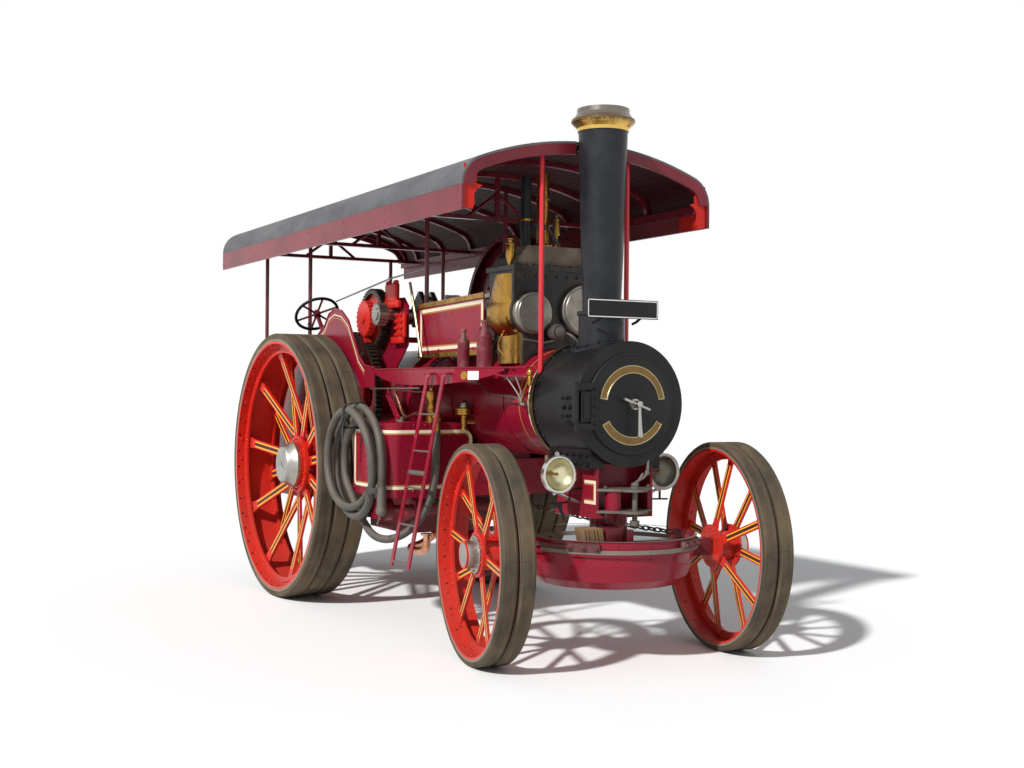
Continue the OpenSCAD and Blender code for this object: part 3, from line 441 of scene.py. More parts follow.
def write_hose(s: Shader) -> bpy.types.Material:
    """Ribbed suction hose, dusty in patches and paler where it faces up; U runs round it and V
    along it.

    Args:
        s: the material's node tree.

    Returns:
        The material.
    """
    uv = s.node("ShaderNodeTexCoord", out="UV")
    here = s.object_point()
    along = s.axis(uv, 1)
    rib = (along * 260.0).do("SINE") * 0.5 + 0.5
    cloud = s.noise(here, 9.0, 5.0, 0.65)
    grit = s.noise(here, 160.0, 3.0, 0.7)
    # Paler where the surface faces up, added to the noise patches.
    up = s.axis(s.node("ShaderNodeTexCoord", out="Normal"), 2).ramp(-0.4, 0.9)
    dust = (cloud * 0.9 + up * 0.45 + grit * 0.2 - 0.35).clamped()
    colour = s.mix(dust, (0.03, 0.028, 0.026), (0.15, 0.125, 0.098))
    return s.surface(Base_Color=colour, Roughness=dust * 0.35 + 0.45,
                     Normal=s.bump(rib * 0.5 + grit * 0.3 + cloud * 0.3, 0.3, 0.002))


def write_glass(s: Shader) -> bpy.types.Material:
    """Lamp glass, a little dusty.

    Args:
        s: the material's node tree.

    Returns:
        The material.
    """
    cloud = s.noise(s.object_point(), 30.0, 4.0)
    return s.surface(Base_Color=(0.9, 0.93, 0.92), Roughness=cloud * 0.1 + 0.02,
                     Transmission_Weight=1.0, IOR=1.1, Alpha=cloud * 0.15 + 0.12)


def write_coal(s: Shader) -> bpy.types.Material:
    """Broken coal.

    Args:
        s: the material's node tree.

    Returns:
        The material.
    """
    here = s.object_point()
    lump = s.noise(here, 30.0, 4.0)
    return s.surface(Base_Color=s.mix(lump, (0.012, 0.012, 0.014), (0.05, 0.05, 0.055)),
                     Roughness=lump * 0.5 + 0.2, Normal=s.bump(lump, 0.6, 0.01))


def write_cap(s: Shader) -> bpy.types.Material:
    """The chimney cap: golden under its lip, heat-browned on it and grey above.

    Args:
        s: the material's node tree.

    Returns:
        The material.
    """
    here = s.object_point()
    z = s.axis(here, 2)
    streak = s.noise(s.moved((0, 0, 0), scale=(30, 30, 2)), 2.0, 4.0, 0.6)
    level = z + (streak - 0.5) * 0.045
    brown = s.mix(level.ramp(3.386, 3.418), (0.72, 0.47, 0.12), (0.16, 0.1, 0.05))
    colour = s.mix(level.ramp(3.425, 3.462), brown, (0.2, 0.18, 0.155))
    return s.surface(Base_Color=colour, Metallic=1.0, Roughness=streak * 0.25 + 0.16,
                     Normal=s.bump(streak, 0.06, 0.001))


def write_block(s: Shader) -> bpy.types.Material:
    """Oily casting, its top casing dusted brown.

    Args:
        s: the material's node tree.

    Returns:
        The material.
    """
    here = s.object_point()
    grain = s.noise(here, 110.0, 4.0, 0.7)
    patch = s.noise(here, 7.0, 5.0, 0.62)
    ahead = (s.axis(here, 0) + (patch - 0.5) * 0.1).ramp(1.33, 1.39)
    high = (s.axis(here, 2) + (patch - 0.5) * 0.02).ramp(2.53, 2.545) * ahead
    iron = s.mix(patch.ramp(0.42, 0.7), (0.014, 0.013, 0.012), (0.05, 0.045, 0.038))
    brown = s.mix(patch.ramp(0.35, 0.65), (0.13, 0.1, 0.068), (0.25, 0.2, 0.145))
    return s.surface(Base_Color=s.mix(high, iron, brown), Metallic=0.2,
                     Roughness=grain * 0.2 + high * 0.2 + 0.34,
                     Normal=s.bump(grain * 0.6 + patch, 0.3, 0.002))


def write_posts(s: Shader) -> bpy.types.Material:
    """Post paint: bright red in front; the posts behind get a dark maroon as their painted shade.

    Args:
        s: the material's node tree.

    Returns:
        The material.
    """
    here = s.object_point()
    cloud = s.noise(here, 8.0, 4.0)
    front = (s.axis(here, 0) + cloud * 0.02).ramp(1.3, 1.4)
    # The dark maroon on the posts behind is painted shade; the bright red is the paint itself.
    painted_shade_maroon = s.mix(cloud, (0.09, 0.006, 0.012), (0.15, 0.01, 0.018))
    bright = s.mix(cloud, (0.5, 0.012, 0.022), (0.6, 0.02, 0.03))
    return s.surface(Base_Color=s.mix(front, painted_shade_maroon, bright), Roughness=cloud * 0.15 + 0.24,
                     Coat_Weight=0.1, Normal=s.bump(cloud, 0.05, 0.001))


def write_gears(s: Shader) -> bpy.types.Material:
    """Gears: red webs, black greasy teeth, by the distance from each axis.

    Args:
        s: the material's node tree.

    Returns:
        The material.
    """
    here = s.object_point()
    x, z = s.axis(here, 0), s.axis(here, 2)
    grease = s.noise(here, 40.0, 4.0, 0.65)
    red: Optional[Sock] = None
    for cx, cz, r in ((530, 2250, 196), (300, 1640, 462), (0, 1067, 498)):
        dx, dz = x - (cx * MM - AXLE_X), z - cz * MM
        far = (dx * dx + dz * dz).do("SQRT")
        inside = far.ramp(r * MM + 0.002, r * MM - 0.002)
        red = inside if red is None else red.do("MAXIMUM", inside)
    dark = s.mix(grease.ramp(0.4, 0.7), (0.018, 0.016, 0.014), (0.07, 0.055, 0.04))
    paint = s.mix(grease.ramp(0.5, 0.8) * 0.5, (0.6, 0.02, 0.014), (0.16, 0.02, 0.015))
    return s.surface(Base_Color=s.mix(red, dark, paint), Roughness=grease * 0.3 + 0.2,
                     Metallic=(1 - red) * 0.4, Normal=s.bump(grease, 0.25, 0.002))


class Look(Enum):
    """Finishes of the engine's pieces."""

    CRIMSON = Paint("crimson_coach_paint", (0.25, 0.0035, 0.019), (0.2, 0.0045, 0.019),
                    dust_most=0.07)
    DEEP = Paint("maroon_coach_paint", (0.1, 0.006, 0.014), (0.15, 0.01, 0.02))
    VERMILION = Paint("vermilion_coach_paint", (0.58, 0.017, 0.008), (0.46, 0.012, 0.007),
                      dust_most=0.16, coat=0.1, roughness=0.32)
    WEBBING = Iron("grey_webbing_strap", (0.035, 0.035, 0.033), (0.16, 0.15, 0.13), 0.8, 0.0,
                   260.0, 0.3, 0.6)
    DARK_LINE = Paint("dark_lining", (0.045, 0.006, 0.006), (0.07, 0.01, 0.008))
    GOLD_LINE = Paint("golden_lining", (0.5, 0.27, 0.05), (0.42, 0.2, 0.04), dust_most=0.1,
                      roughness=0.35)
    SPOKE_LINE = Paint("yellow_lining", (0.95, 0.45, 0.04), (0.85, 0.36, 0.03), dust_most=0.08,
                       roughness=0.35)
    POSTS = Plain("canopy_post_paint", write_posts)
    DUSTY_CLAMP = Iron("dusty_clamp_paint", (0.1, 0.035, 0.035), (0.2, 0.13, 0.1), 0.7, 0.0, 90.0,
                       0.4, 0.8)
    CREAM_LINE = Paint("cream_lining", (0.82, 0.74, 0.55), (0.72, 0.63, 0.44), dust_most=0.12,
                       roughness=0.35)
    DUSTY_STEEL = Iron("dusty_steel", (0.13, 0.115, 0.1), (0.24, 0.2, 0.17), 0.55, 0.3)
    BLACK = Iron("black_smokebox_iron", (0.006, 0.006, 0.007), (0.03, 0.029, 0.027), 0.4, 0.0,
                 patch=0.25)
    STACK = Iron("black_chimney_paint", (0.012, 0.013, 0.016), (0.035, 0.037, 0.042), 0.34, 0.0,
                 60.0, 0.08, 0.4)
    OILY = Iron("oily_iron", (0.03, 0.027, 0.025), (0.12, 0.1, 0.08), 0.42, 0.55)
    RUSTY = Iron("dusty_chain_iron", (0.05, 0.038, 0.03), (0.2, 0.15, 0.11), 0.68, 0.35, 90.0,
                 0.5, 0.8)
    STEEL = Polished("polished_steel", (0.42, 0.41, 0.38), (0.2, 0.18, 0.15), 0.3)
    NICKEL = Polished("nickel_plate", (0.62, 0.62, 0.6), (0.4, 0.38, 0.33), 0.2)
    BRASS = Polished("polished_brass", (0.46, 0.25, 0.05), (0.15, 0.08, 0.02), 0.22, 0.8)
    PALE_BRASS = Polished("pale_brass", (0.42, 0.36, 0.2), (0.2, 0.16, 0.08), 0.34, 0.7)
    BRONZE = Polished("dark_bronze_band", (0.2, 0.12, 0.045), (0.09, 0.06, 0.03), 0.3, 0.7)
    COPPER = Polished("copper_pipe", (0.68, 0.33, 0.2), (0.32, 0.15, 0.1), 0.22)
    COVER = Polished("dull_steel_cover", (0.3, 0.28, 0.24), (0.14, 0.12, 0.09), 0.34, 0.8)
    DULL_GLASS = Iron("dull_lamp_mirror", (0.16, 0.15, 0.12), (0.28, 0.25, 0.2), 0.35, 0.5)
    DUSTY_RED = Iron("dusty_can_paint", (0.14, 0.012, 0.022), (0.24, 0.15, 0.13), 0.5, 0.0, 60.0,
                     0.2, 1.0)
    # Ceiling boards: maroon darkened nearly to black as painted shade under the roof.
    CEILING = Paint("ceiling_paint_darkened_as_shade", (0.03, 0.004, 0.006), (0.045, 0.006, 0.008), dust_most=0.0,
                    roughness=0.6, coat=0.0)
    CHIMNEY_CAP = Plain("chimney_cap_bronze", write_cap)
    BLOCK = Plain("oily_cylinder_iron", write_block)
    GEARS = Plain("gear_iron_and_paint", write_gears)
    REFLECTOR = Polished("golden_reflector", (0.7, 0.66, 0.42), (0.6, 0.56, 0.34), 0.26, 0.3)
    EDGE = Iron("pale_dusty_edge", (0.2, 0.185, 0.145), (0.1, 0.09, 0.07), 0.8)
    LIP = Iron("dusty_lip", (0.17, 0.14, 0.115), (0.27, 0.22, 0.18), 0.8)
    CANVAS = Plain("tarred_canvas", write_canvas)
    BOARDS = Plain("painted_boards", write_boards)
    HOSE = Plain("ribbed_hose", write_hose)
    GLASS = Plain("lamp_glass", write_glass)
    COAL = Plain("broken_coal", write_coal)
    WHITE = Paint("white_border", (0.75, 0.75, 0.72), (0.66, 0.66, 0.63), dust_most=0.1)
    TIMBER = Iron("weathered_timber", (0.2, 0.12, 0.06), (0.33, 0.22, 0.12), 0.8, 0.0, 30.0)
    WHITE_METAL = Polished("pressure_dial", (0.8, 0.8, 0.76), (0.6, 0.6, 0.55), 0.5, 0.3)

    def material(self) -> bpy.types.Material:
        """The finish's material, written the first time it is asked for."""
        return bpy.data.materials.get(self.value.name) or self.value.build()


# Modelling


class Bench:
    """Blender's own tools, used in millimetres on one piece at a time."""

    @staticmethod
    def clear() -> None:
        """Leaves edit mode and deselects everything."""
        if bpy.context.object and bpy.context.object.mode != "OBJECT":
            bpy.ops.object.mode_set(mode="OBJECT")
        bpy.ops.object.select_all(action="DESELECT")

    @staticmethod
    def only(piece: bpy.types.Object) -> bpy.types.Object:
        """Selects one piece and makes it active.

        Args:
            piece: the one.

        Returns:
            The piece.
        """
        Bench.clear()
        piece.select_set(True)
        bpy.context.view_layer.objects.active = piece
        return piece

    @staticmethod
    def drum(r: float, h: float, at: Point, sides: int) -> bpy.types.Object:
        """An upright cylinder about its middle.

        Args:
            r: its radius.
            h: its height.
            at: its middle.
            sides: facets round it.

        Returns:
            The piece.
        """
        Bench.clear()
        bpy.ops.mesh.primitive_cylinder_add(vertices=sides, radius=r, depth=h, location=at)
        return bpy.context.object

    @staticmethod
    def block(size: Point, at: Point = (0, 0, 0), turn: Point = (0, 0, 0)) -> bpy.types.Object:
        """A box about its middle.

        Args:
            size: its three sides.
            at: its middle.
            turn: its angles about X, Y and Z.

        Returns:
            The piece.
        """
        Bench.clear()
        bpy.ops.mesh.primitive_cube_add(size=1.0, location=at, rotation=turn)
        piece = bpy.context.object
        piece.scale = size
        return piece

    @staticmethod
    def soften(piece: bpy.types.Object, width: float, segments: int = 2,
               angle: float = 40.0) -> bpy.types.Object:
        """Bevels the edges that turn by more than angle degrees.

        Args:
            piece: what is bevelled.
            width: the bevel's width.
            segments: its facets.
            angle: the least turn in degrees.

        Returns:
            The piece.
        """
        Bench.only(piece)
        bpy.ops.object.transform_apply(location=True, rotation=True, scale=True)
        bevel = piece.modifiers.new("bevel", "BEVEL")
        bevel.width, bevel.segments = width, segments
        bevel.limit_method, bevel.angle_limit = "ANGLE", radians(angle)
        bpy.ops.object.modifier_apply(modifier="bevel")
        return piece

    @staticmethod
    def raw(name: str, verts: Iterable[Point], edges: Sequence = (),
            faces: Sequence = ()) -> bpy.types.Object:
        """A new mesh from its parts, linked to the scene and selected.

        Args:
            name: its name.
            verts: its corners.
            edges: its loose edges.
            faces: its faces.

        Returns:
            The piece.
        """
        Bench.clear()
        mesh = bpy.data.meshes.new(name)
        mesh.from_pydata([tuple(v) for v in verts], edges, faces)
        piece = bpy.data.objects.new(name, mesh)
        bpy.context.collection.objects.link(piece)
        return Bench.only(piece)

    @staticmethod
    def outward(piece: bpy.types.Object) -> bpy.types.Object:
        """Turns a closed mesh's faces outward.

        Args:
            piece: the mesh.

        Returns:
            The piece.
        """
        bpy.ops.object.mode_set(mode="EDIT")
        bpy.ops.mesh.select_all(action="SELECT")
        bpy.ops.mesh.normals_make_consistent(inside=False)
        bpy.ops.object.mode_set(mode="OBJECT")
        return piece

    @staticmethod
    def shell(name: str, verts: Iterable[Point], faces: Sequence) -> bpy.types.Object:
        """A closed mesh from its corners and faces, these turned outward."""
        return Bench.outward(Bench.raw(name, verts, (), faces))

    @staticmethod
    def turned(profile: Sequence[tuple[float, float]], at: Point = (0, 0, 0),
               axis: Point = (0, 0, 1), steps: int = 48) -> bpy.types.Object:
        """Spins a drawing of radius and height round an axis.

        Args:
            profile: radius and height of each corner, open or closed by the axis.
            at: where the axis starts.
            axis: its direction.
            steps: facets round.

        Returns:
            The closed piece.
        """
        piece = Bench.raw("turned", [(r, 0.0, h) for r, h in profile],
                          [(i, i + 1) for i in range(len(profile) - 1)])
        bpy.ops.object.mode_set(mode="EDIT")
        bpy.ops.mesh.select_all(action="SELECT")
        bpy.ops.mesh.spin(steps=steps, angle=2 * pi, center=(0, 0, 0), axis=(0, 0, 1))
        bpy.ops.mesh.select_all(action="SELECT")
        bpy.ops.mesh.remove_doubles(threshold=0.01)
        Bench.outward(piece)
        turn = Vector((0, 0, 1)).rotation_difference(Vector(axis)).to_matrix().to_4x4()
        piece.data.transform(Matrix.Translation(at) @ turn)
        return piece

    @staticmethod
    def plate(outline: Sequence[tuple[float, float]], thick: float,
              place: Optional[Matrix] = None, bevel: float = 0.0) -> bpy.types.Object:
        """A flat outline in X and Y, extruded up by thick, then set in place.

        Args:
            outline: its corners.
            thick: its thickness.
            place: from the drawing to the engine.
            bevel: its edges' width.

        Returns:
            The piece.
        """
        piece = Bench.raw("plate", [(x, y, 0.0) for x, y in outline], (),
                          [tuple(range(len(outline)))])
        bpy.ops.object.mode_set(mode="EDIT")
        bpy.ops.mesh.select_all(action="SELECT")
        bpy.ops.mesh.extrude_region_move(TRANSFORM_OT_translate={"value": (0, 0, thick)})
        Bench.outward(piece)
        if bevel:
            Bench.soften(piece, bevel, 1)
        if place is not None:
            piece.data.transform(place)
        return piece

    @staticmethod
    def pipe(points: Sequence[Point], r: float, sides: int = 6, smooth: bool = False,
             closed: bool = False) -> bpy.types.Object:
        """A round bar along a line of points.

        Args:
            points: the line.
            r: the bar's radius.
            sides: two less than the facets round it.
            smooth: runs a curve through the points.
            closed: joins the end to the start.

        Returns:
            The bar as a mesh with closed ends.
        """
        Bench.clear()
        curve = bpy.data.curves.new("pipe", "CURVE")
        curve.dimensions, curve.bevel_depth = "3D", r
        curve.bevel_resolution, curve.use_fill_caps = max(0, sides // 2 - 1), not closed
        line = curve.splines.new("BEZIER" if smooth else "POLY")
        line.use_cyclic_u = closed
        if smooth:
            line.bezier_points.add(len(points) - 1)
            line.resolution_u = 6
            for knot, p in zip(line.bezier_points, points):
                knot.co = p
                knot.handle_left_type = knot.handle_right_type = "AUTO"
        else:
            line.points.add(len(points) - 1)
            for knot, p in zip(line.points, points):
                knot.co = (*p, 1.0)
        piece = bpy.data.objects.new("pipe", curve)
        bpy.context.collection.objects.link(piece)
        Bench.only(piece)
        bpy.ops.object.convert(target="MESH")
        return bpy.context.object

    @staticmethod
    def stamp(master: bpy.types.Object, places: Iterable[Matrix]) -> bpy.types.Object:
        """Copies a master to each place as one mesh, and takes the master away.

        Args:
            master: the piece that is copied.
            places: one for each copy.

        Returns:
            The copies as one piece.
        """
        mesh = master.data
        mesh.transform(master.matrix_basis)
        verts = [v.co.copy() for v in mesh.vertices]
        faces = [tuple(p.vertices) for p in mesh.polygons]
        smooth = [p.use_smooth for p in mesh.polygons]
        all_verts: list = []
        all_faces: list = []
        flags: list = []
        for place in places:
            base = len(all_verts)
            flip = place.to_3x3().determinant() < 0
            all_verts.extend(place @ v for v in verts)
            all_faces.extend(tuple(base + i for i in (reversed(f) if flip else f)) for f in faces)
            flags.extend(smooth)
        piece = Bench.raw("stamped", all_verts, (), all_faces)
        piece.data.polygons.foreach_set("use_smooth", flags)
        bpy.data.objects.remove(master)
        return piece

    @staticmethod
    def join(pieces: Sequence[bpy.types.Object]) -> bpy.types.Object:
        """Makes one object of several.

        Args:
            pieces: what is joined.

        Returns:
            The one piece.
        """
        Bench.clear()
        for piece in pieces:
            piece.select_set(True)
        bpy.context.view_layer.objects.active = pieces[0]
        bpy.ops.object.transform_apply(location=True, rotation=True, scale=True)
        if len(pieces) > 1:
            bpy.ops.object.join()
        return bpy.context.object

    @staticmethod
    def hand_in(name: str, pieces: Union[bpy.types.Object, Sequence[bpy.types.Object]],
                look: Union[Look, bpy.types.Material], slot: Slot, body: Body = Body.ENGINE,
                place: Matrix = ENGINE, smooth: float = 35.0) -> bpy.types.Object:
        """Joins, places, names and dresses finished pieces.

        Args:
            name: the piece's name.
            pieces: what it is joined from, in millimetres.
            look: its finish.
            slot: not used.
            body: what it moves with.
            place: from millimetres to the row frame.
            smooth: the sharpest angle, in degrees, that is shaded smooth.

        Returns:
            The piece at the origin, its place in its mesh.
        """
        group = [pieces] if isinstance(pieces, bpy.types.Object) else list(pieces)
        piece = Bench.join(group)
        piece.data.transform(place)
        if place.to_3x3().determinant() < 0:
            piece.data.flip_normals()
        piece.name = piece.data.name = name
        piece.data.materials.clear()
        piece.data.materials.append(look if isinstance(look, bpy.types.Material)
                                    else look.material())
        Bench.only(piece)
        bpy.ops.object.shade_smooth_by_angle(angle=radians(smooth))
        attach(piece, body.value)
        log.info("%s: %d faces", name, len(piece.data.polygons))
        return piece


def facing(at: Point, out: Point, turn: float = 0.0) -> Matrix:
    """A place whose own +Z points along out."""
    lift = Vector((0, 0, 1)).rotation_difference(Vector(out).normalized()).to_matrix().to_4x4()
    return Matrix.Translation(at) @ lift @ Matrix.Rotation(turn, 4, "Z")


def rivet(r: float, h: float, sides: int = 10) -> bpy.types.Object:
    """A snap-head rivet standing on Z = 0."""
    return Bench.turned([(r, -1.0), (r, 0.0), (0.92 * r, 0.45 * h), (0.62 * r, 0.85 * h),
                         (0.0, h)], steps=sides)


def hex_bolt(r: float, h: float, stud: float = 0.0) -> bpy.types.Object:
    """A six-sided nut standing on Z = 0, with a stud through it.

    Args:
        r: its radius over the corners.
        h: its height.
        stud: how far the stud stands out, or 0 for none.

    Returns:
        The nut.
    """
    head = Bench.soften(Bench.drum(r, h, (0, 0, h / 2), sides=6), 0.12 * r, 1)
    if not stud:
        return head
    return Bench.join([head, Bench.drum(0.5 * r, stud, (0, 0, h + stud / 2 - 0.1), sides=8)])


def along(start: Point, end: Point, count: int, out: Point) -> list[Matrix]:
    """Evenly spaced places on a line, both ends included, facing out."""
    a, b = Vector(start), Vector(end)
    return [facing(a.lerp(b, i / (count - 1)), out) for i in range(count)]


def around(centre: Point, r: float, count: int, first: float) -> list[Matrix]:
    """Places on a circle about an X axis, from the angle first on, facing outward.

    Args:
        centre: the circle's middle.
        r: its radius.
        count: how many.
        first: the first one's angle.

    Returns:
        The places.
    """
    spokes = [Vector((0.0, cos(a), sin(a))) for a in
              (first + 2 * pi * i / count for i in range(count))]
    return [facing(Vector(centre) + r * spoke, spoke) for spoke in spokes]


def ribbon(points: Sequence[Point], wide: float, out: Point, thick: float = 0.8,
           closed: bool = False) -> bpy.types.Object:
    """A painted line as a thin strip on a flat face.

    Args:
        points: the line, on the face.
        wide: its width.
        out: the face's outward direction.
        thick: how far it stands off the face.
        closed: joins the end to the start.

    Returns:
        The strip.
    """
    normal = Vector(out).normalized()
    line = [Vector(p) for p in points]
    n, lift = len(line), thick * normal
    rows = []
    for i, p in enumerate(line):
        before = line[i] - line[i - 1] if (i or closed) else line[1] - line[0]
        after = line[(i + 1) % n] - p if (i < n - 1 or closed) else before
        sides = [normal.cross(d).normalized() for d in (before, after)]
        mitre = (sides[0] + sides[1]).normalized()
        mitre *= wide / 2 / max(0.3, mitre.dot(sides[0]))
        rows.append([p - mitre, p + mitre, p + lift + mitre, p + lift - mitre])
    return lofted(rows, closed)


def lofted(rows: Sequence[Sequence[Point]], closed: bool = False) -> bpy.types.Object:
    """A solid through sections of equal count, in order.

    Args:
        rows: the corners of each section.
        closed: joins the last section to the first, or else both ends are filled.

    Returns:
        The solid, its faces outward.
    """
    n, m = len(rows[0]), len(rows)
    faces = [(i * n + j, i * n + (j + 1) % n, (i + 1) % m * n + (j + 1) % n, (i + 1) % m * n + j)
             for i in range(m if closed else m - 1) for j in range(n)]
    if not closed:
        faces += [tuple(range(n)), tuple((m - 1) * n + j for j in range(n))]
    return Bench.shell("lofted", [p for row in rows for p in row], faces)


def rounded(x0: float, y0: float, x1: float, y1: float, r: float,
            steps: int = 5) -> list[tuple[float, float]]:
    """Corners of a rectangle with rounded corners.

    Args:
        x0: left.
        y0: bottom.
        x1: right.
        y1: top.
        r: the corners' radius.
        steps: facets in each corner.

    Returns:
        The outline's points.
    """
    found = []
    for cx, cy, first in ((x1 - r, y0 + r, -90), (x1 - r, y1 - r, 0), (x0 + r, y1 - r, 90),
                          (x0 + r, y0 + r, 180)):
        for i in range(steps + 1):
            a = radians(first + 90 * i / steps)
            found.append((cx + r * cos(a), cy + r * sin(a)))
    return found


# Studio


@dataclass
class Studio:
    """Camera, floor and lamps."""

    eye: Point = (10.2551767 - AXLE_X, -4.5954617, 1.7008923)
    yaw: float = 2.6348909
    pitch: float = 0.00345493
    roll: float = 0.00779312
    focal: float = 1309.7
    photo_wide: float = 1024.0
    sensor: float = 36.0

    def build(self) -> None:
        """Sets the camera first, then the floor and the light."""
        self.camera()
        self.floor()
        self.lamps()

    def camera(self) -> None:
        """The photograph's viewpoint."""
        lens = bpy.data.cameras.new("camera")
        lens.sensor_width, lens.sensor_fit = self.sensor, "HORIZONTAL"
        lens.lens = self.sensor * self.focal / self.photo_wide
        lens.clip_end = 200.0
        eye = bpy.data.objects.new("camera", lens)
        look = Vector((cos(self.pitch) * cos(self.yaw), cos(self.pitch) * sin(self.yaw),
                       sin(self.pitch)))
        side = look.cross(Vector((0, 0, 1))).normalized()
        up = side.cross(look)
        right = cos(self.roll) * side + sin(self.roll) * up
        up = right.cross(look)
        eye.matrix_world = Matrix((
            (right.x, up.x, -look.x, self.eye[0]), (right.y, up.y, -look.y, self.eye[1]),
            (right.z, up.z, -look.z, self.eye[2]), (0, 0, 0, 1)))
        bpy.context.collection.objects.link(eye)
        bpy.context.scene.camera = eye

    def floor(self) -> None:
        """A plain pale floor that the camera sees as white, with the engine's shadow."""
        Bench.clear()
        bpy.ops.mesh.primitive_plane_add(size=160.0, location=(0, 0, 0))
        floor = bpy.context.object
        floor.name = "floor"
        s = Shader("pale_floor")
        s.surface(Base_Color=(0.92, 0.92, 0.91), Roughness=0.9)
        floor.data.materials.append(s.material)

    def lamps(self) -> None:
        """A soft sun from the camera's left, with a pale sky."""
        scene = bpy.context.scene
        scene.view_settings.view_transform = "Standard"
        sun = bpy.data.lights.new("sun", "SUN")
        sun.energy, sun.angle = 3.95, radians(3)
        lamp = bpy.data.objects.new("sun", sun)
        lamp.rotation_euler = Vector((-0.35, 0.8, -0.68)).to_track_quat("-Z", "Y").to_euler()
        bpy.context.collection.objects.link(lamp)
        world = bpy.data.worlds.new("sky")
        scene.world = world
        world.use_nodes = True
        tree = world.node_tree
        light = tree.nodes["Background"]
        light.inputs["Color"].default_value = (0.93, 0.96, 1.0, 1.0)
        light.inputs["Strength"].default_value = 0.36
        white = tree.nodes.new("ShaderNodeBackground")
        white.inputs["Color"].default_value = (1, 1, 1, 1)
        white.inputs["Strength"].default_value = 1.0
        ray = tree.nodes.new("ShaderNodeLightPath")
        seen = ray.outputs["Is Camera Ray"]
        for kind in ("Is Glossy Ray", "Is Transmission Ray"):
            most = tree.nodes.new("ShaderNodeMath")
            most.operation = "MAXIMUM"
            tree.links.new(seen, most.inputs[0])
            tree.links.new(ray.outputs[kind], most.inputs[1])
            seen = most.outputs[0]
        blend = tree.nodes.new("ShaderNodeMixShader")
        tree.links.new(seen, blend.inputs[0])
        tree.links.new(light.outputs[0], blend.inputs[1])
        tree.links.new(white.outputs[0], blend.inputs[2])
        tree.links.new(blend.outputs[0], tree.nodes["World Output"].inputs["Surface"])


# The CAD nodes' finishes


@dataclass
class Livery:
    """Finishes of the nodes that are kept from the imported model."""

    looks: dict[Look, tuple[str, ...]] = field(default_factory=lambda: {
        Look.CRIMSON: ("boiler_barrel", "hornplates", "perch_bracket", "water_tank",
                       "motion_covers", "splasher", "running_boards", "fore_tray"),
        Look.DEEP: ("canopy_frame", "tender", "flywheel", "front_axle",
                    "steering_wheel", "steering_shaft", "firebox"),
        Look.VERMILION: ("rear_wheel_right", "rear_wheel_left", "front_wheel_right",
                         "front_wheel_left"),
        Look.POSTS: ("canopy_posts",),
        Look.BLACK: ("smokebox", "smokebox_door", "drawbar", "hose_hook"),
        Look.STACK: ("chimney",),
        Look.OILY: ("rear_axle",),
        Look.GEARS: ("gear_train",),
        Look.BLOCK: ("cylinder_block",),
        Look.DUSTY_CLAMP: ("chain_clamps",),
        Look.STEEL: ("motion_rods", "crankshaft", "door_handle"),
        Look.DUSTY_STEEL: ("towing_fork", "hose_strainer"),
        Look.NICKEL: ("head_lamps",),
        Look.BRASS: ("steam_column", "hose_union"),
        Look.CHIMNEY_CAP: ("chimney_cap",),
        Look.CANVAS: ("canopy_roof",),
        Look.BOARDS: ("canopy_boards",),
    })
    rear_rings: float = 0.135
    front_rings: float = 0.1115

    def build(self) -> None:
        """Gives each node its finish."""
        for look, nodes in self.looks.items():
            for name in nodes:
                self.dress(name, look.material())
        c, s = cos(STEER_REST), sin(STEER_REST)
        for side, sign in (("right", -1.0), ("left", 1.0)):
            middle = (-AXLE_X, sign * REAR_MID * MM, REAR_RADIUS * MM)
            self.dress(f"rear_tyre_{side}", Rubber(f"rear_rubber_{side}", middle, 0.0,
                                                   self.rear_rings).build())
            y = sign * FRONT_MID * MM
            middle = (KING_PIN * MM - AXLE_X - s * y, c * y, FRONT_RADIUS * MM)
            self.dress(f"front_tyre_{side}", Rubber(f"front_rubber_{side}", middle, STEER_REST,
                                                    self.front_rings).build())

    @staticmethod
    def dress(name: str, material: bpy.types.Material) -> None:
        """Puts a material on a node.

        Args:
            name: the node's name.
            material: its finish.
        """
        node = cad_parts[name]
        node.data.materials.clear()
        node.data.materials.append(material)


# Lines through points, and the suction hose


def eased(t: float, table: Sequence[tuple[float, float]]) -> float:
    """The value at t of a table of places and values, eased between its rows.

    Args:
        t: where the value is wanted.
        table: rows of place and value.

    Returns:
        The value.
    """
    for (t0, v0), (t1, v1) in zip(table, table[1:]):
        if t <= t1:
            k = max(0.0, (t - t0) / (t1 - t0))
            return v0 + (v1 - v0) * k * k * (3 - 2 * k)
    return table[-1][1]


def through(knots: Sequence[Point], step: float) -> list[Vector]:
    """A smooth line through knots, with a point about every step.

    Args:
        knots: the points that it passes.
        step: the distance between points.

    Returns:
        The line's points.
    """
    line = [Vector(k) for k in knots]
    ends = [2 * line[0] - line[1]] + line + [2 * line[-1] - line[-2]]
    found = []
    for a, b, c, d in zip(ends, ends[1:], ends[2:], ends[3:]):
        count = max(1, round((c - b).length / step))
        for i in range(count):
            t = i / count
            found.append(0.5 * (2 * b + (c - a) * t + (2 * a - 5 * b + 4 * c - d) * t * t
                                + (3 * b - a - 3 * c + d) * t ** 3))
    return found + [line[-1]]


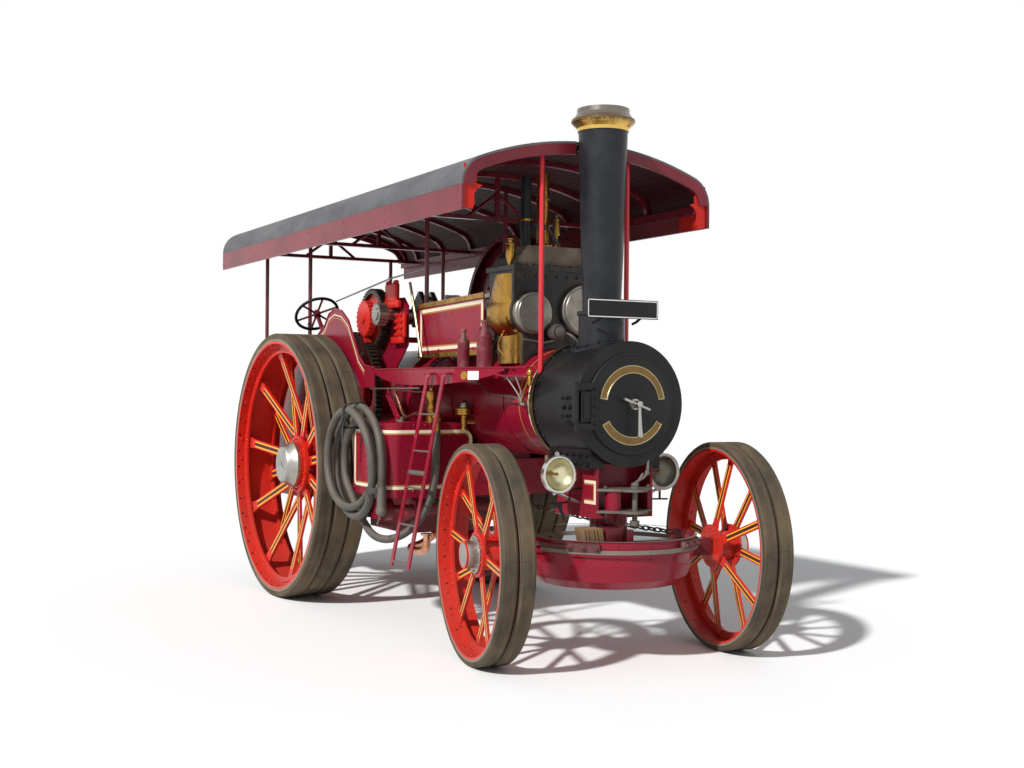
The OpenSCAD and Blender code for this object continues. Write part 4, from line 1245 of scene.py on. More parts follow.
def tube(name: str, line: Sequence[Vector], r: float, sides: int = 16) -> bpy.types.Object:
    """A tube with closed ends round a line in millimetres.

    Args:
        name: the mesh's name.
        line: the points that it follows.
        r: its radius.
        sides: facets round it.

    Returns:
        The tube, its U round it and its V along it in metres.
    """
    verts, along_it, gone = [], [], 0.0
    side, last = Vector((1, 0, 0)), len(line) - 1
    for i, p in enumerate(line):
        ahead = (line[min(i + 1, last)] - line[max(i - 1, 0)]).normalized()
        side = (side - ahead * side.dot(ahead)).normalized()
        up = ahead.cross(side)
        gone += (p - line[i - 1]).length * MM if i else 0.0
        along_it.append(gone)
        verts += [p + r * (cos(2 * pi * k / sides) * side + sin(2 * pi * k / sides) * up)
                  for k in range(sides)]
    faces, uvs = [], []
    for i in range(last):
        for k in range(sides):
            j = (k + 1) % sides
            faces.append((i * sides + k, i * sides + j, (i + 1) * sides + j, (i + 1) * sides + k))
            uvs += [(k / sides, along_it[i]), ((k + 1) / sides, along_it[i]),
                    ((k + 1) / sides, along_it[i + 1]), (k / sides, along_it[i + 1])]
    for i in (0, last):
        ring = [i * sides + k for k in range(sides)]
        faces.append(tuple(ring if i else reversed(ring)))
        uvs += [(0.0, along_it[i])] * sides
    piece = Bench.raw(name, verts, (), faces)
    layer = piece.data.uv_layers.new(name="UVMap")
    for spot, uv in zip(layer.data, uvs):
        spot.uv = uv
    return piece


@dataclass
class SuctionHose:
    """The suction hose, from the tank's union under the tank and round its coil."""

    radius: float = 28.0
    centre: tuple[float, float] = (1535.0, 1165.0)
    run: tuple[Point, ...] = (
        (1972, -600, 1399), (1972, -600, 1350), (1979, -605, 1240), (1987, -614, 1120),
        (1991, -632, 1010), (1990, -662, 905), (1976, -712, 805), (1945, -775, 723),
        (1894, -838, 667), (1822, -893, 640), (1735, -931, 642), (1645, -952, 672),
        (1562, -962, 724), (1483, -978, 795))
    # Turns from the bottom of the coil: radius, then place across the engine
    reach: tuple[tuple[float, float], ...] = (
        (0.16, 292), (0.8, 292), (1.3, 368), (1.75, 382), (2.75, 398))
    across: tuple[tuple[float, float], ...] = (
        (0.16, -993), (0.72, -993), (1.2, -1098), (1.5, -1098), (2.0, -1030), (2.75, -998))
    turns: float = 2.75

    def on_coil(self, t: float) -> Point:
        """The hose's middle after t turns."""
        a, r = -2 * pi * (t + 0.25), eased(t, self.reach)
        return (self.centre[0] + r * cos(a), eased(t, self.across), self.centre[1] + r * sin(a))

    def build(self) -> None:
        knots = list(self.run)
        t = self.reach[0][0]
        while t < self.turns - 0.01:
            knots.append(self.on_coil(t))
            t += 0.07
        end = self.on_coil(self.turns)
        knots += [end, (end[0], end[1] + 1, 1060), (end[0], end[1] + 2, 957)]
        line = through(knots, 26.0)
        hose = Bench.hand_in("suction_hose", tube("suction_hose", line, self.radius), Look.HOSE,
                             Slot.HOSE)
        path = [tuple(ENGINE @ p) for p in line]
        length = sum((a - b).length for a, b in zip(line, line[1:])) * MM
        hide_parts("hose_run", "hose_coil")
        self.straps()
        self.bands()

    def straps(self) -> bpy.types.Object:
        """The tie round the coil's top, its hanging tail, and the buckled strap at the end.

        Returns:
            The tie and the buckled strap as one piece.
        """
        x = self.centre[0]
        loop = [(-963, 1404), (-963, 1578), (-985, 1594), (-1105, 1578), (-1129, 1560),
                (-1131, 1480), (-1090, 1412), (-1040, 1402)]
        pieces = [self.belt([(x, y, z) for y, z in loop], (1, 0, 0), 30, 3, True),
                  self.belt([(x + 22, y - 1, z + 4) for y, z in loop], (1, 0, 0), 12, 8, True)]
        tail = self.belt([(x + 8, -1134, 1560), (x + 6, -1136, 1480), (x + 12, -1135, 1400),
                          (x + 4, -1133, 1305)], (1, 0, 0), 28, 3, False)
        Bench.hand_in("coil_tie_tail", tail, Look.WEBBING, Slot.HOSE)
        a, b = Vector((1873, -1056, 990)), Vector((1933, -996, 990))
        ahead = (b - a).normalized()
        out = Vector((ahead.y, -ahead.x, 0))
        ring = []
        for centre, first in ((a, -pi / 2), (b, pi / 2)):
            for i in range(7):
                turn = first - pi * i / 6
                ring.append(centre + 30.5 * (-sin(turn) * out + cos(turn) * ahead))
        pieces.append(self.belt(ring, (0, 0, 1), 42, 3, True))
        return Bench.hand_in("hose_straps", pieces, Look.WEBBING, Slot.HOSE)

    def bands(self) -> bpy.types.Object:
        """Clips on the hose below the union, and the strap's buckle.

        Returns:
            The clips and the buckle as one piece.
        """
        clips = [Bench.turned([(28.5, -7), (30.5, -7), (30.5, 7), (28.5, 7)], at=at, axis=ahead,
                              steps=24)
                 for at, ahead in (((1972, -600, 1372), (0, 0, 1)),
                                   ((1986.5, -613, 1127), (0.06, -0.08, 1)),
                                   ((1990, -662, 905), (-0.05, -0.42, -0.9)))]
        frame_line = [(1878, -1089, 966), (1908, -1060, 966), (1908, -1060, 1014),
                      (1878, -1089, 1014)]
        clips.append(Bench.pipe(frame_line, 3.5, 6, closed=True))
        clips.append(Bench.pipe([(1893, -1076, 966), (1893, -1076, 1014)], 2.5, 6))
        return Bench.hand_in("hose_clips", clips, Look.OILY, Slot.HOSE)

    @staticmethod
    def belt(points: Sequence[Point], wide_along: Point, wide: float, thick: float,
             closed: bool) -> bpy.types.Object:
        """A flat belt along points, wide along one direction.

        Args:
            points: its middle line.
            wide_along: the width's direction.
            wide: its width.
            thick: its thickness.
            closed: joins the end to the start.

        Returns:
            The belt.
        """
        line = [Vector(p) for p in points]
        width, n = Vector(wide_along) * wide / 2, len(points)
        rows = []
        for i, p in enumerate(line):
            before = line[i - 1] if (i or closed) else p
            after = line[(i + 1) % n] if (i < n - 1 or closed) else p
            lift = (after - before).cross(width).normalized() * thick / 2
            rows.append([p - width - lift, p + width - lift, p + width + lift,
                         p - width + lift])
        return lofted(rows, closed)


# Boiler, smokebox and chimney


def hoop(x: float, wide: float, r: float, thick: float = 1.0) -> bpy.types.Object:
    """A thin band round the boiler."""
    return Bench.turned([(r, 0), (r + thick, 0.2), (r + thick, wide - 0.2), (r, wide)],
                        at=(x, 0, BOILER_Z), axis=(1, 0, 0), steps=96)


@dataclass
class BoilerDress:
    """Bands, lining, pipes and fittings of the barrel."""

    line_r: float = 360.1
    valve: tuple[float, float] = (2010.0, -405.0)
    lifter: tuple[float, float] = (1800.0, -560.0)

    def build(self) -> None:
        """Adds every piece."""
        Bench.hand_in("barrel_front_band", [hoop(2866, 42, 365.4, thick=1.4),
                                            hoop(2911, 42, 392.6, thick=1.4)], Look.BRONZE,
                      Slot.BRASS)
        Bench.hand_in("barrel_cream_line", hoop(2840, 22, self.line_r, 1.4), Look.CREAM_LINE,
                      Slot.CRIMSON)
        Bench.hand_in("barrel_gold_line", hoop(2718, 7, self.line_r), Look.GOLD_LINE,
                      Slot.CRIMSON)
        Bench.hand_in("barrel_dark_line", hoop(2478, 6, self.line_r), Look.DARK_LINE,
                      Slot.CRIMSON)
        self.pipes()

    def pipes(self) -> None:
        """Copper and steel pipes between the board, the barrel and the tank."""
        copper = [
            Bench.pipe([(1060, -450, 1800), (1108, -540, 1729), (1214, -552, 1603),
                        (1298, -552, 1508), (1345, -552, 1487), (1431, -552, 1491),
                        (1500, -552, 1506), (1560, -556, 1512)], 13, 10, smooth=True),
            Bench.pipe([(1800, -560, 1640), (1802, -560, 1700), (1790, -540, 1760),
                        (1760, -470, 1806)], 14, 10, smooth=True),
            Bench.pipe([(1690, -380, 936), (1692, -400, 720), (1720, -560, 600),
                        (1840, -730, 576), (2050, -750, 575), (2120, -750, 598),
                        (2147, -750, 650), (2146, -750, 706)], 27, 12, smooth=True),
            Bench.turned([(27, 0), (44, 0), (44, 13), (27, 13)], at=(2146, -750, 694), steps=32)]
        Bench.hand_in("copper_pipes", copper, Look.COPPER, Slot.COPPER)
        steel = [Bench.pipe([(1100, -560, 1690), (1500, -570, 1672), (1760, -565, 1668)], 6, 6),
                 Bench.pipe([(2230, -414, 1738), (2400, -425, 1672), (2640, -425, 1655),
                             (2800, -420, 1640), (2866, -416, 1610)], 7, 6, smooth=True),
                 Bench.turned([(0, 0), (17, 2), (20, 10), (20, 34), (0, 36)],
                              at=(2866, -412, 1590), steps=20)]
        Bench.hand_in("valve_rods", steel, Look.STEEL, Slot.STEEL)
        self.fittings()
        plate = Bench.plate([(-30, 0), (30, 0), (30, 300), (-30, 300)], 10,
                            Matrix.Translation((1430, -642, 1462))
                            @ Matrix.Rotation(radians(90), 4, "X")
                            @ Matrix.Rotation(radians(47), 4, "Z"), 2)
        dots = [facing((1430 - 0.731 * d + 0.682 * o, -652.5, 1462 + 0.682 * d + 0.731 * o),
                       (0, -1, 0)) for d in range(30, 290, 48) for o in (-16, 16)]
        Bench.hand_in("tank_strut", [plate], Look.CRIMSON, Slot.CRIMSON)
        Bench.hand_in("tank_strut_rivets", Bench.stamp(rivet(8, 6), dots), Look.CRIMSON,
                      Slot.CRIMSON)

    def fittings(self) -> None:
        """The check valve, the filling lid and the water lifter's shell."""
        x, y = self.valve
        at = (x, y, 0)
        brass = [
            Bench.turned([(0, 1405), (30, 1405), (30, 1418), (19, 1424), (19, 1440), (24, 1446),
                          (24, 1496), (30, 1504), (44, 1512), (60, 1516), (60, 1528), (54, 1531),
                          (54, 1544), (60, 1547), (60, 1556), (30, 1558), (0, 1558)], at=at,
                         steps=36),
            Bench.pipe([(x, -300, 1470), (x, -400, 1470)], 24, 12),
            Bench.turned([(0, 1514), (30, 1516), (36, 1530), (36, 1546), (31, 1552), (31, 1600),
                          (35, 1606), (36, 1650), (33, 1664), (20, 1680), (8, 1688), (0, 1690)],
                         at=(*self.lifter, 0), steps=40)]
        fittings = Bench.hand_in("check_valve", brass, Look.BRASS, Slot.BRASS)
        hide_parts("boiler_fittings")
        dome = [Bench.turned([(0, 1557), (27, 1557), (30, 1562), (30, 1578), (25, 1584),
                              (27, 1592), (20, 1606), (8, 1613), (0, 1614)], at=at, steps=32),
                Bench.turned([(0, 1454), (38, 1454), (38, 1466), (32, 1470), (32, 1484),
                              (0, 1490)], at=(1410, -620, 0), steps=28),
                Bench.turned([(0, 1688), (13, 1688), (15, 1696), (10, 1706), (0, 1710)],
                             at=(*self.lifter, 0), steps=20)]
        Bench.hand_in("valve_domes", dome, Look.STEEL, Slot.STEEL)
        studs = [facing((x + 48 * cos(a), y + 48 * sin(a), 1556), (0, 0, 1), a)
                 for a in (pi * i / 3 for i in range(6))]
        Bench.hand_in("check_valve_nuts", Bench.stamp(hex_bolt(7, 7, 4), studs), Look.OILY,
                      Slot.OILY)


@dataclass
class SmokeboxDress:
    """Rivets, flange bolts, hinge casting, nuts and handle of the smokebox."""

    x0: float = 2910.0
    x1: float = 3496.0
    z: float = BOILER_Z
    r: float = 384.0
    chimney_x: float = 3160.0
    foot_r: float = 182.0
    seat_r: float = 398.2

    def build(self) -> None:
        """Adds every piece."""
        rear = around((self.x0 + 66, 0, self.z), self.r - 0.5, 26, 0.1)
        front = around((self.x1 - 58, 0, self.z), self.r - 0.5, 26, 0.02)
        front = [m for m in front if m.translation.z > 1290 or abs(m.translation.y) > 235]
        Bench.hand_in("smokebox_rivets", Bench.stamp(rivet(11, 8), rear + front), Look.BLACK,
                      Slot.BLACK)
        bolts = []
        for i in range(14):
            a = 2 * pi * (i + 0.5) / 14
            y = self.foot_r * sin(a)
            out = Vector((0, y, sqrt(self.seat_r ** 2 - y * y)))
            bolts.append(facing((self.chimney_x + self.foot_r * cos(a), y, self.z + out.z), out,
                                i))
        Bench.hand_in("chimney_foot_bolts", Bench.stamp(hex_bolt(13, 10, 6), bolts), Look.BLACK,
                      Slot.BLACK)
        self.side_bolts()
        self.door()
        self.arcs()
        self.handle()

    def side_bolts(self) -> None:
        """Bolts of the hinge's lugs and the small plate on the smokebox's side."""
        spots = [facing((x, -412, z), (0, -1, 0), x) for z in (1536, 1646)
                 for x in (self.x1 - 128, self.x1 - 82)]
        for x in (3330, 3400):
            y = -sqrt(self.r ** 2 - 21 ** 2)
            spots.append(facing((x, y, 1588), (0, y, -21), 0.3))
        Bench.hand_in("hinge_lug_bolts", Bench.stamp(hex_bolt(15, 11, 7), spots), Look.BLACK,
                      Slot.BLACK)

    def door(self) -> None:
        """Casting's bolts, the frame round its panel, a bright bead and the boss's nuts."""
        column = along((self.x1 + 26, -277, 1488), (self.x1 + 26, -277, 1706), 5, (1, 0, 0))
        nuts = []
        for y, z in ((-42, 1652), (24, 1656), (-48, 1568), (44, 1572), (0, 1540)):
            nuts.append(facing((self.x1 + 33.5, y, z), (1, 0, 0), y))
        casting = [Bench.soften(Bench.block((10, 46, 150), (self.x1 + 24, -338, 1595)), 4, 2),
                   Bench.soften(Bench.block((16, 50, 268), (self.x1 + 19, -278, 1598)), 5, 2)]
        for z in (1471, 1719):
            casting.append(Bench.soften(
                Bench.block((22, 140, 40), (self.x1 + 20.5, -340, z)), 6, 2))
        Bench.hand_in("door_casting", casting, Look.BLACK, Slot.BLACK, Body.DOOR)
        Bench.hand_in("door_bolts", Bench.stamp(hex_bolt(14, 11, 8), column), Look.BLACK,
                      Slot.BLACK, Body.DOOR)
        Bench.hand_in("door_nuts", Bench.stamp(hex_bolt(10, 6, 5), nuts), Look.BLACK,
                      Slot.BLACK, Body.DOOR)
        bead = Bench.turned([(300, 9.5), (306, 13.5), (314, 13.5), (318.5, 9.5)],
                            at=(self.x1 + 0.8, 0, self.z), axis=(1, 0, 0), steps=96)
        Bench.hand_in("door_bead", bead, Look.BLACK, Slot.BLACK, Body.DOOR)

    def arcs(self) -> None:
        """Two bare arched plates, dark with raised brass edges, laid on the dish."""
        plates, fields = [], []
        for first, last, inner, outer in ((8, 172, 192, 242), (210, 330, 203, 255)):
            rims, darks = [], []
            low, high = inner + 6.5, outer - 6.5
            for i in range(49):
                share = i / 48
                degree = first + (last - first) * share
                rims.append(self.on_dish(degree, [
                    (inner, -1.5), (inner, 5.0), (inner + 5, 5.0), (inner + 7, 2.6),
                    (outer - 7, 2.6), (outer - 5, 5.0), (outer, 5.0), (outer, -1.5)]))
                darks.append(self.on_dish(degree + (0.5 - share) * 3.4, [
                    (low, -1.5), (low, 3.4), (high, 3.4), (high, -1.5)]))
            plates.append(lofted(rims))
            fields.append(lofted(darks))
        Bench.hand_in("door_plates", plates, Look.PALE_BRASS, Slot.BRASS, Body.DOOR)
        Bench.hand_in("door_plate_fields", fields, Look.BRONZE, Slot.BRASS, Body.DOOR)

    def on_dish(self, degree: float, profile: Sequence[tuple[float, float]]) -> list[Point]:
        """A drawing of radius and height, laid on the door's dish at an angle.

        Args:
            degree: the angle, from the left side up.
            profile: radius and height of each corner.

        Returns:
            The section's corners.
        """
        a = radians(degree)
        return [(self.x1 + 30 - 0.1 * (r - 150) + h, r * cos(a), self.z + r * sin(a))
                for r, h in profile]

    def handle(self) -> None:
        """The dart's wheel nut, its two handles turned and tapered."""
        x = self.x1
        nut = Bench.turned([(34.5, 35), (34.5, 47), (30, 52), (24, 56), (24, 64), (20, 70),
                            (20, 108), (15, 112), (0, 112)], at=(x, 0, self.z), axis=(1, 0, 0),
                           steps=32)
        long_one = Bench.turned([(10.5, 12), (8, 60), (8.8, 150), (11, 190), (9, 204), (0, 207)],
                                at=(x + 98, 0, self.z), axis=(0.02, 0.06, -1), steps=16)
        cross = Bench.turned([(0, -98), (8, -95), (10.5, -80), (7.5, -20), (7.5, 20), (10.5, 80),
                              (8, 95), (0, 98)], at=(x + 72, 0, self.z), axis=(0, 0.94, -0.336),
                             steps=16)
        Bench.hand_in("door_dart", [nut, long_one, cross], Look.STEEL, Slot.STEEL, Body.DOOR)


# Tank, perch and fore carriage


def frame_lines(box: tuple[float, float, float, float], r: float, at: Matrix, wide: float,
                gap: float, fine: float) -> tuple[bpy.types.Object, bpy.types.Object]:
    """A broad line round a panel with a fine one inside it.

    Args:
        box: the broad line's corners in the panel's own X and Y.
        r: its corners' radius.
        at: from the panel, Z outward, to the engine.
        wide: the broad line's width.
        gap: from it to the fine line.
        fine: the fine line's width.

    Returns:
        The broad line and the fine one.
    """
    x0, y0, x1, y1 = box
    found = []
    for inset, w, corner in ((0.0, wide, r), (gap, fine, max(4.0, r - gap))):
        line = rounded(x0 + inset, y0 + inset, x1 - inset, y1 - inset, corner)
        piece = ribbon([(x, y, 0.0) for x, y in line], w, (0, 0, 1), closed=True)
        piece.data.transform(at)
        found.append(piece)
    return found[0], found[1]


def upright(at: Point, out: Point) -> Matrix:
    """A panel's place with its Y up, its Z outward and its X level.

    Args:
        at: the panel's origin.
        out: its outward direction.

    Returns:
        The place.
    """
    z = Vector(out).normalized()
    x = Vector((0, 0, 1)).cross(z).normalized()
    y = z.cross(x)
    return Matrix(((x.x, y.x, z.x, at[0]), (x.y, y.y, z.y, at[1]), (x.z, y.z, z.z, at[2]),
                   (0, 0, 0, 1)))


@dataclass
class TankDress:
    """Rivet rows and lining of the water tank."""

    x0: float = 1330.0
    x1: float = 1940.0
    half: float = 960.0
    corner: float = 100.0
    line_low: float = 1004.0
    line_high: float = 1394.0
    line_r: float = 60.0
    line_back: float = -480.0
    line_end: float = 311.0

    def build(self) -> None:
        """Adds rivets and lines on its sides and its front."""
        spots, cream, gold = [], [], []
        for s in (-1.0, 1.0):
            y = s * self.half
            for z in (977, 1437.5):
                spots += along((self.x0 + 25, y, z), (self.x1 - 110, y, z), 7, (0, s, 0))
                spots += along((self.x1, s * 400, z), (self.x1, s * 850, z), 6, (1, 0, 0))
                spots += along((self.x0, s * 420, z), (self.x0, s * 900, z), 6, (-1, 0, 0))
            spots += along((1560, y, 1060), (1560, y, 1370), 5, (0, s, 0))
            cream.append(self.line(s, 0.0, 22))
            gold.append(self.line(s, 17.0, 6))
        Bench.hand_in("tank_rivets", Bench.stamp(rivet(9.5, 7), spots), Look.CRIMSON,
                      Slot.CRIMSON)
        Bench.hand_in("tank_cream_lines", cream, Look.CREAM_LINE, Slot.CRIMSON)
        Bench.hand_in("tank_gold_lines", gold, Look.GOLD_LINE, Slot.CRIMSON)
        straps = [Bench.soften(Bench.block((self.x1 - self.x0 - 104, 3, 34),
                                           ((self.x0 + self.x1 - 104) / 2, s * 960.6, 1437.5)),
                               1.2, 1) for s in (-1, 1)]
        Bench.hand_in("tank_top_straps", straps, Look.CRIMSON, Slot.CRIMSON)

    def line(self, s: float, inset: float, wide: float) -> bpy.types.Object:
        """A painted line that runs from the side round the corner to the front.

        Args:
            s: -1 on the right, 1 on the left.
            inset: how far inside the outermost line it runs.
            wide: its width.

        Returns:
            The line as a thin closed strip.
        """
        bend, r = 0.5 * pi * self.corner, self.line_r - inset
        low, high = self.line_low + inset, self.line_high - inset
        back = self.line_back + inset
        front = bend + self.half - self.corner - self.line_end - inset
        steps = [back + 26 + (front - r - back - 26) * i / 90 for i in range(91)]
        track = [(u, low) for u in steps]
        quarter = [pi * i / 16 for i in range(1, 8)]
        track += [(front - r + r * sin(a), low + r - r * cos(a)) for a in quarter]
        track += [(front - r + r * cos(a), high - r + r * sin(a)) for a in quarter]
        track += [(u, high) for u in reversed(steps)]
        track += [(back + 8, high - 8), (back, high - 26), (back, low + 26), (back + 8, low + 8)]
        rows, n = [], len(track)
        for i, (u, z) in enumerate(track):
            before = Vector((u - track[i - 1][0], z - track[i - 1][1])).normalized()
            after = Vector((track[(i + 1) % n][0] - u, track[(i + 1) % n][1] - z)).normalized()
            ahead = (before + after).normalized()
            reach = wide / 2 / max(0.4, ahead.dot(before))
            rows.append([self.on_wall(s, u - k * reach * ahead.y, z + k * reach * ahead.x, lift)
                         for k, lift in ((-1, -0.4), (1, -0.4), (1, 0.9), (-1, 0.9))])
        return lofted(rows, True)

    def on_wall(self, s: float, u: float, z: float, lift: float) -> Point:
        """A point of the wall, u along it from where its front corner begins.

        Args:
            s: -1 on the right, 1 on the left.
            u: how far along.
            z: its height.
            lift: how far it stands off the wall.

        Returns:
            The point.
        """
        r, bend = self.corner + lift, 0.5 * pi * self.corner
        a = min(max(u / self.corner, 0.0), pi / 2)
        x = self.x1 - self.corner + r * sin(a) + min(u, 0.0)
        y = self.half - self.corner + r * cos(a) - max(u - bend, 0.0)
        return (x, s * y, z)


@dataclass
class PerchDress:
    """Lining, bolts and the bent front flange of the perch bracket."""

    y: float = 210.0
    x1: float = 3440.0

    def build(self) -> None:
        """Adds every piece."""
        cream, gold, bolts, small = [], [], [], []
        for s in (-1.0, 1.0):
            for inset, wide, group in ((0, 20, cream), (15, 5, gold)):
                group.append(ribbon([(x, s * self.y, z) for x, z in (
                    (3300, 1123 - inset), (self.x1 - 18 - inset, 1123 - inset),
                    (self.x1 - 18 - inset, 996 + inset), (3300, 996 + inset))], wide, (0, s, 0)))
            small += along((self.x1 - 66, s * self.y, 1154), (self.x1 - 20, s * self.y, 1154), 2,
                           (0, s, 0))
            for z, count in ((1236, 7), (1290, 6)):
                bolts += along((3010, s * 258, z), (3410, s * 258, z), count, (0, s, 0))
        plate = [Bench.soften(Bench.block((60, 44, 9), (self.x1 - 32, s * 236, 1206)), 3, 1)
                 for s in (-1, 1)]
        lip = [Bench.soften(Bench.block((7, 104, 116), (self.x1 + 1, s * 208, 1268)), 2, 1)
               for s in (-1, 1)]
        lip += [Bench.soften(Bench.block((490, 66, 4), (3195, s * 229, 1324.6)), 1.2, 1)
                for s in (-1, 1)]
        Bench.hand_in("perch_cream_lines", cream, Look.CREAM_LINE, Slot.CRIMSON)
        Bench.hand_in("perch_gold_lines", gold, Look.GOLD_LINE, Slot.CRIMSON)
        Bench.hand_in("perch_rivets", Bench.stamp(rivet(9, 6), small), Look.CRIMSON, Slot.CRIMSON)
        Bench.hand_in("saddle_bolts", Bench.stamp(hex_bolt(15, 12, 8), bolts), Look.BLACK,
                      Slot.BLACK)
        skin = [Bench.soften(Bench.block((488, 3, 112), (3195, s * 259.5, 1264)), 1.2, 1)
                for s in (-1, 1)]
        Bench.hand_in("saddle_flange", skin + lip + plate, Look.BLACK, Slot.BLACK)
        self.fork()

    def fork(self) -> None:
        """The crimson roller, nuts, and the draw pin's bent handle."""
        x = self.x1
        roller = Bench.turned([(50.8, 951), (50.8, 1069), (44, 1069.6), (0, 1069.6)],
                              at=(x + 10, -95, 0), steps=40)
        blocks = [Bench.soften(Bench.block((52, 40, 118), (x + 6, 170, 1010)), 3, 1)]
        Bench.hand_in("fork_roller", [roller] + blocks, Look.CRIMSON, Slot.CRIMSON)
        pin = [Bench.turned([(0, 1100), (22, 1100), (24, 1106), (24, 1116), (18, 1124), (0, 1126)],
                            at=(x + 110, 0, 0), steps=24),
               Bench.pipe([(x + 110, 0, 1120), (x + 112, 26, 1138), (x + 116, 62, 1156),
                           (x + 120, 84, 1180)], 8.5, 8, smooth=True),
               Bench.turned([(0, -17), (13, -13), (17, 0), (13, 13), (0, 17)],
                            at=(x + 120, 84, 1184), steps=16),
               Bench.turned([(9, 0), (11, 18), (8, 48), (4, 70), (0, 72)],
                            at=(x + 121, 86, 1192), axis=(0.05, 0.06, 1), steps=16)]
        Bench.hand_in("draw_pin_handle", pin, Look.DUSTY_STEEL, Slot.STEEL)
        nuts = [facing((x + dx, y, 935), (0, 0, -1)) for dx, y in ((20, -150), (20, 150), (90, 0))]
        nuts += [facing((x + dx, y, 1085), (0, 0, 1)) for dx, y in ((24, -160), (24, 160))]
        Bench.hand_in("fork_nuts", Bench.stamp(hex_bolt(16, 12, 9), nuts), Look.OILY, Slot.OILY)


@dataclass
class ForeDress:
    """Fore carriage: the tray's dusty lip, clamps, rivets, chains and what lies in the tray."""

    radius: float = 562.0
    top: float = 790.0
    clamp_z: float = 753.0

    def build(self) -> None:
        """Adds every piece."""
        lip, rim = [], []
        for first in (-70.0, 110.0):
            arc = [radians(first + 140 * i / 48) for i in range(49)]
            lip.append(lofted([[(r * cos(a), r * sin(a), z) for r, z in
                                ((self.radius, 712), (569, 714), (569, 738), (self.radius, 740))]
                               for a in arc]))
            rim.append(ribbon([(553.5 * cos(a), 553.5 * sin(a), self.top) for a in arc], 15,
                              (0, 0, 1), 1.2))
        Bench.hand_in("tray_lip", lip + rim, Look.LIP, Slot.OILY, Body.FORE, CARRIAGE)
        spots = []
        for degree in range(-66, 70, 22):
            a = radians(degree + 4)
            out = Vector((cos(a), sin(a), 0))
            spots.append(facing(tuple(551 * out + Vector((0, 0, 765))), out))
            low = Vector((cos(a), sin(a), -0.12))
            spots.append(facing(tuple(541.5 * out + Vector((0, 0, 676))), low))
        Bench.hand_in("tray_rivets", Bench.stamp(rivet(8, 5.5), spots), Look.CRIMSON,
                      Slot.CRIMSON, Body.FORE, CARRIAGE)
        self.clamps()
        self.load()
        self.chains()

    def clamps(self) -> None:
        """Chain eyes bolted on the tray's band: lobes with nuts."""
        straps, nuts = [], []
        for s in (-1.0, 1.0):
            for degree in (30.5, 38.5, 47.0):
                a = s * radians(degree)
                out = Vector((cos(a), sin(a), 0))
                lift = Vector((0, 0, self.clamp_z))
                straps.append(Bench.turned(
                    [(0, 0), (20, 0), (22, 4), (20, 12), (12, 15), (0, 16)],
                    at=tuple((self.radius + 10) * out + lift), axis=out, steps=18))
                nuts.append(facing(tuple((self.radius + 25) * out + lift), out, degree))
        Bench.hand_in("clamp_lobes", straps, Look.DUSTY_CLAMP, Slot.OILY, Body.FORE, CARRIAGE)
        Bench.hand_in("clamp_nuts", Bench.stamp(hex_bolt(12, 9, 6), nuts), Look.DUSTY_CLAMP,
                      Slot.OILY, Body.FORE, CARRIAGE)

    def load(self) -> None:
        """A ridged wooden chock and a tool box in the tray."""
        chock = []
        for i in range(7):
            chock.append(Bench.soften(Bench.block((150, 17, 84), (225, -284 + 19.5 * i, 806),
                                                  (0.18, 0, 0.04 * (i % 3 - 1))), 5, 2))
        Bench.hand_in("wooden_chock", chock, Look.TIMBER, Slot.WOOD, Body.FORE, CARRIAGE)
        box = [Bench.soften(Bench.block((120, 110, 96), (235, -92, 800), (0, 0, 0.1)), 4, 2),
               Bench.soften(Bench.block((60, 20, 104), (240, -20, 802), (0, 0, 0.1)), 4, 2),
               Bench.soften(Bench.block((50, 44, 84), (250, 34, 790), (0, 0, -0.3)), 4, 2)]
        Bench.hand_in("tool_box", box, Look.DEEP, Slot.MAROON, Body.FORE, CARRIAGE)

    def chains(self) -> None:
        """Each chain as oval links, every other one on its edge."""
        master = Bench.pipe([(24 * cos(a) + (12 if cos(a) > 0 else -12), 15 * sin(a), 0)
                             for a in (2 * pi * (i + 0.5) / 12 for i in range(12))], 6, 4,
                            closed=True)
        places = []
        for s in (-1.0, 1.0):
            a, b = Vector((1176, s * 276, 864)), Vector((3172, s * 564, 757))
            lean = (b - a).normalized()
            count = int((b - a).length / 57)
            lay = Vector((1, 0, 0)).rotation_difference(lean).to_matrix().to_4x4()
            for i in range(count):
                at = a.lerp(b, (i + 0.5) / count)
                at.z -= 26 * sin(pi * (i + 0.5) / count)
                places.append(Matrix.Translation(at) @ lay
                              @ Matrix.Rotation(radians(45 + 90 * (i % 2)), 4, "X"))
        chain = Bench.hand_in("steering_chain_links", Bench.stamp(master, places), Look.RUSTY,
                              Slot.OILY)
        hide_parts("steering_chains")


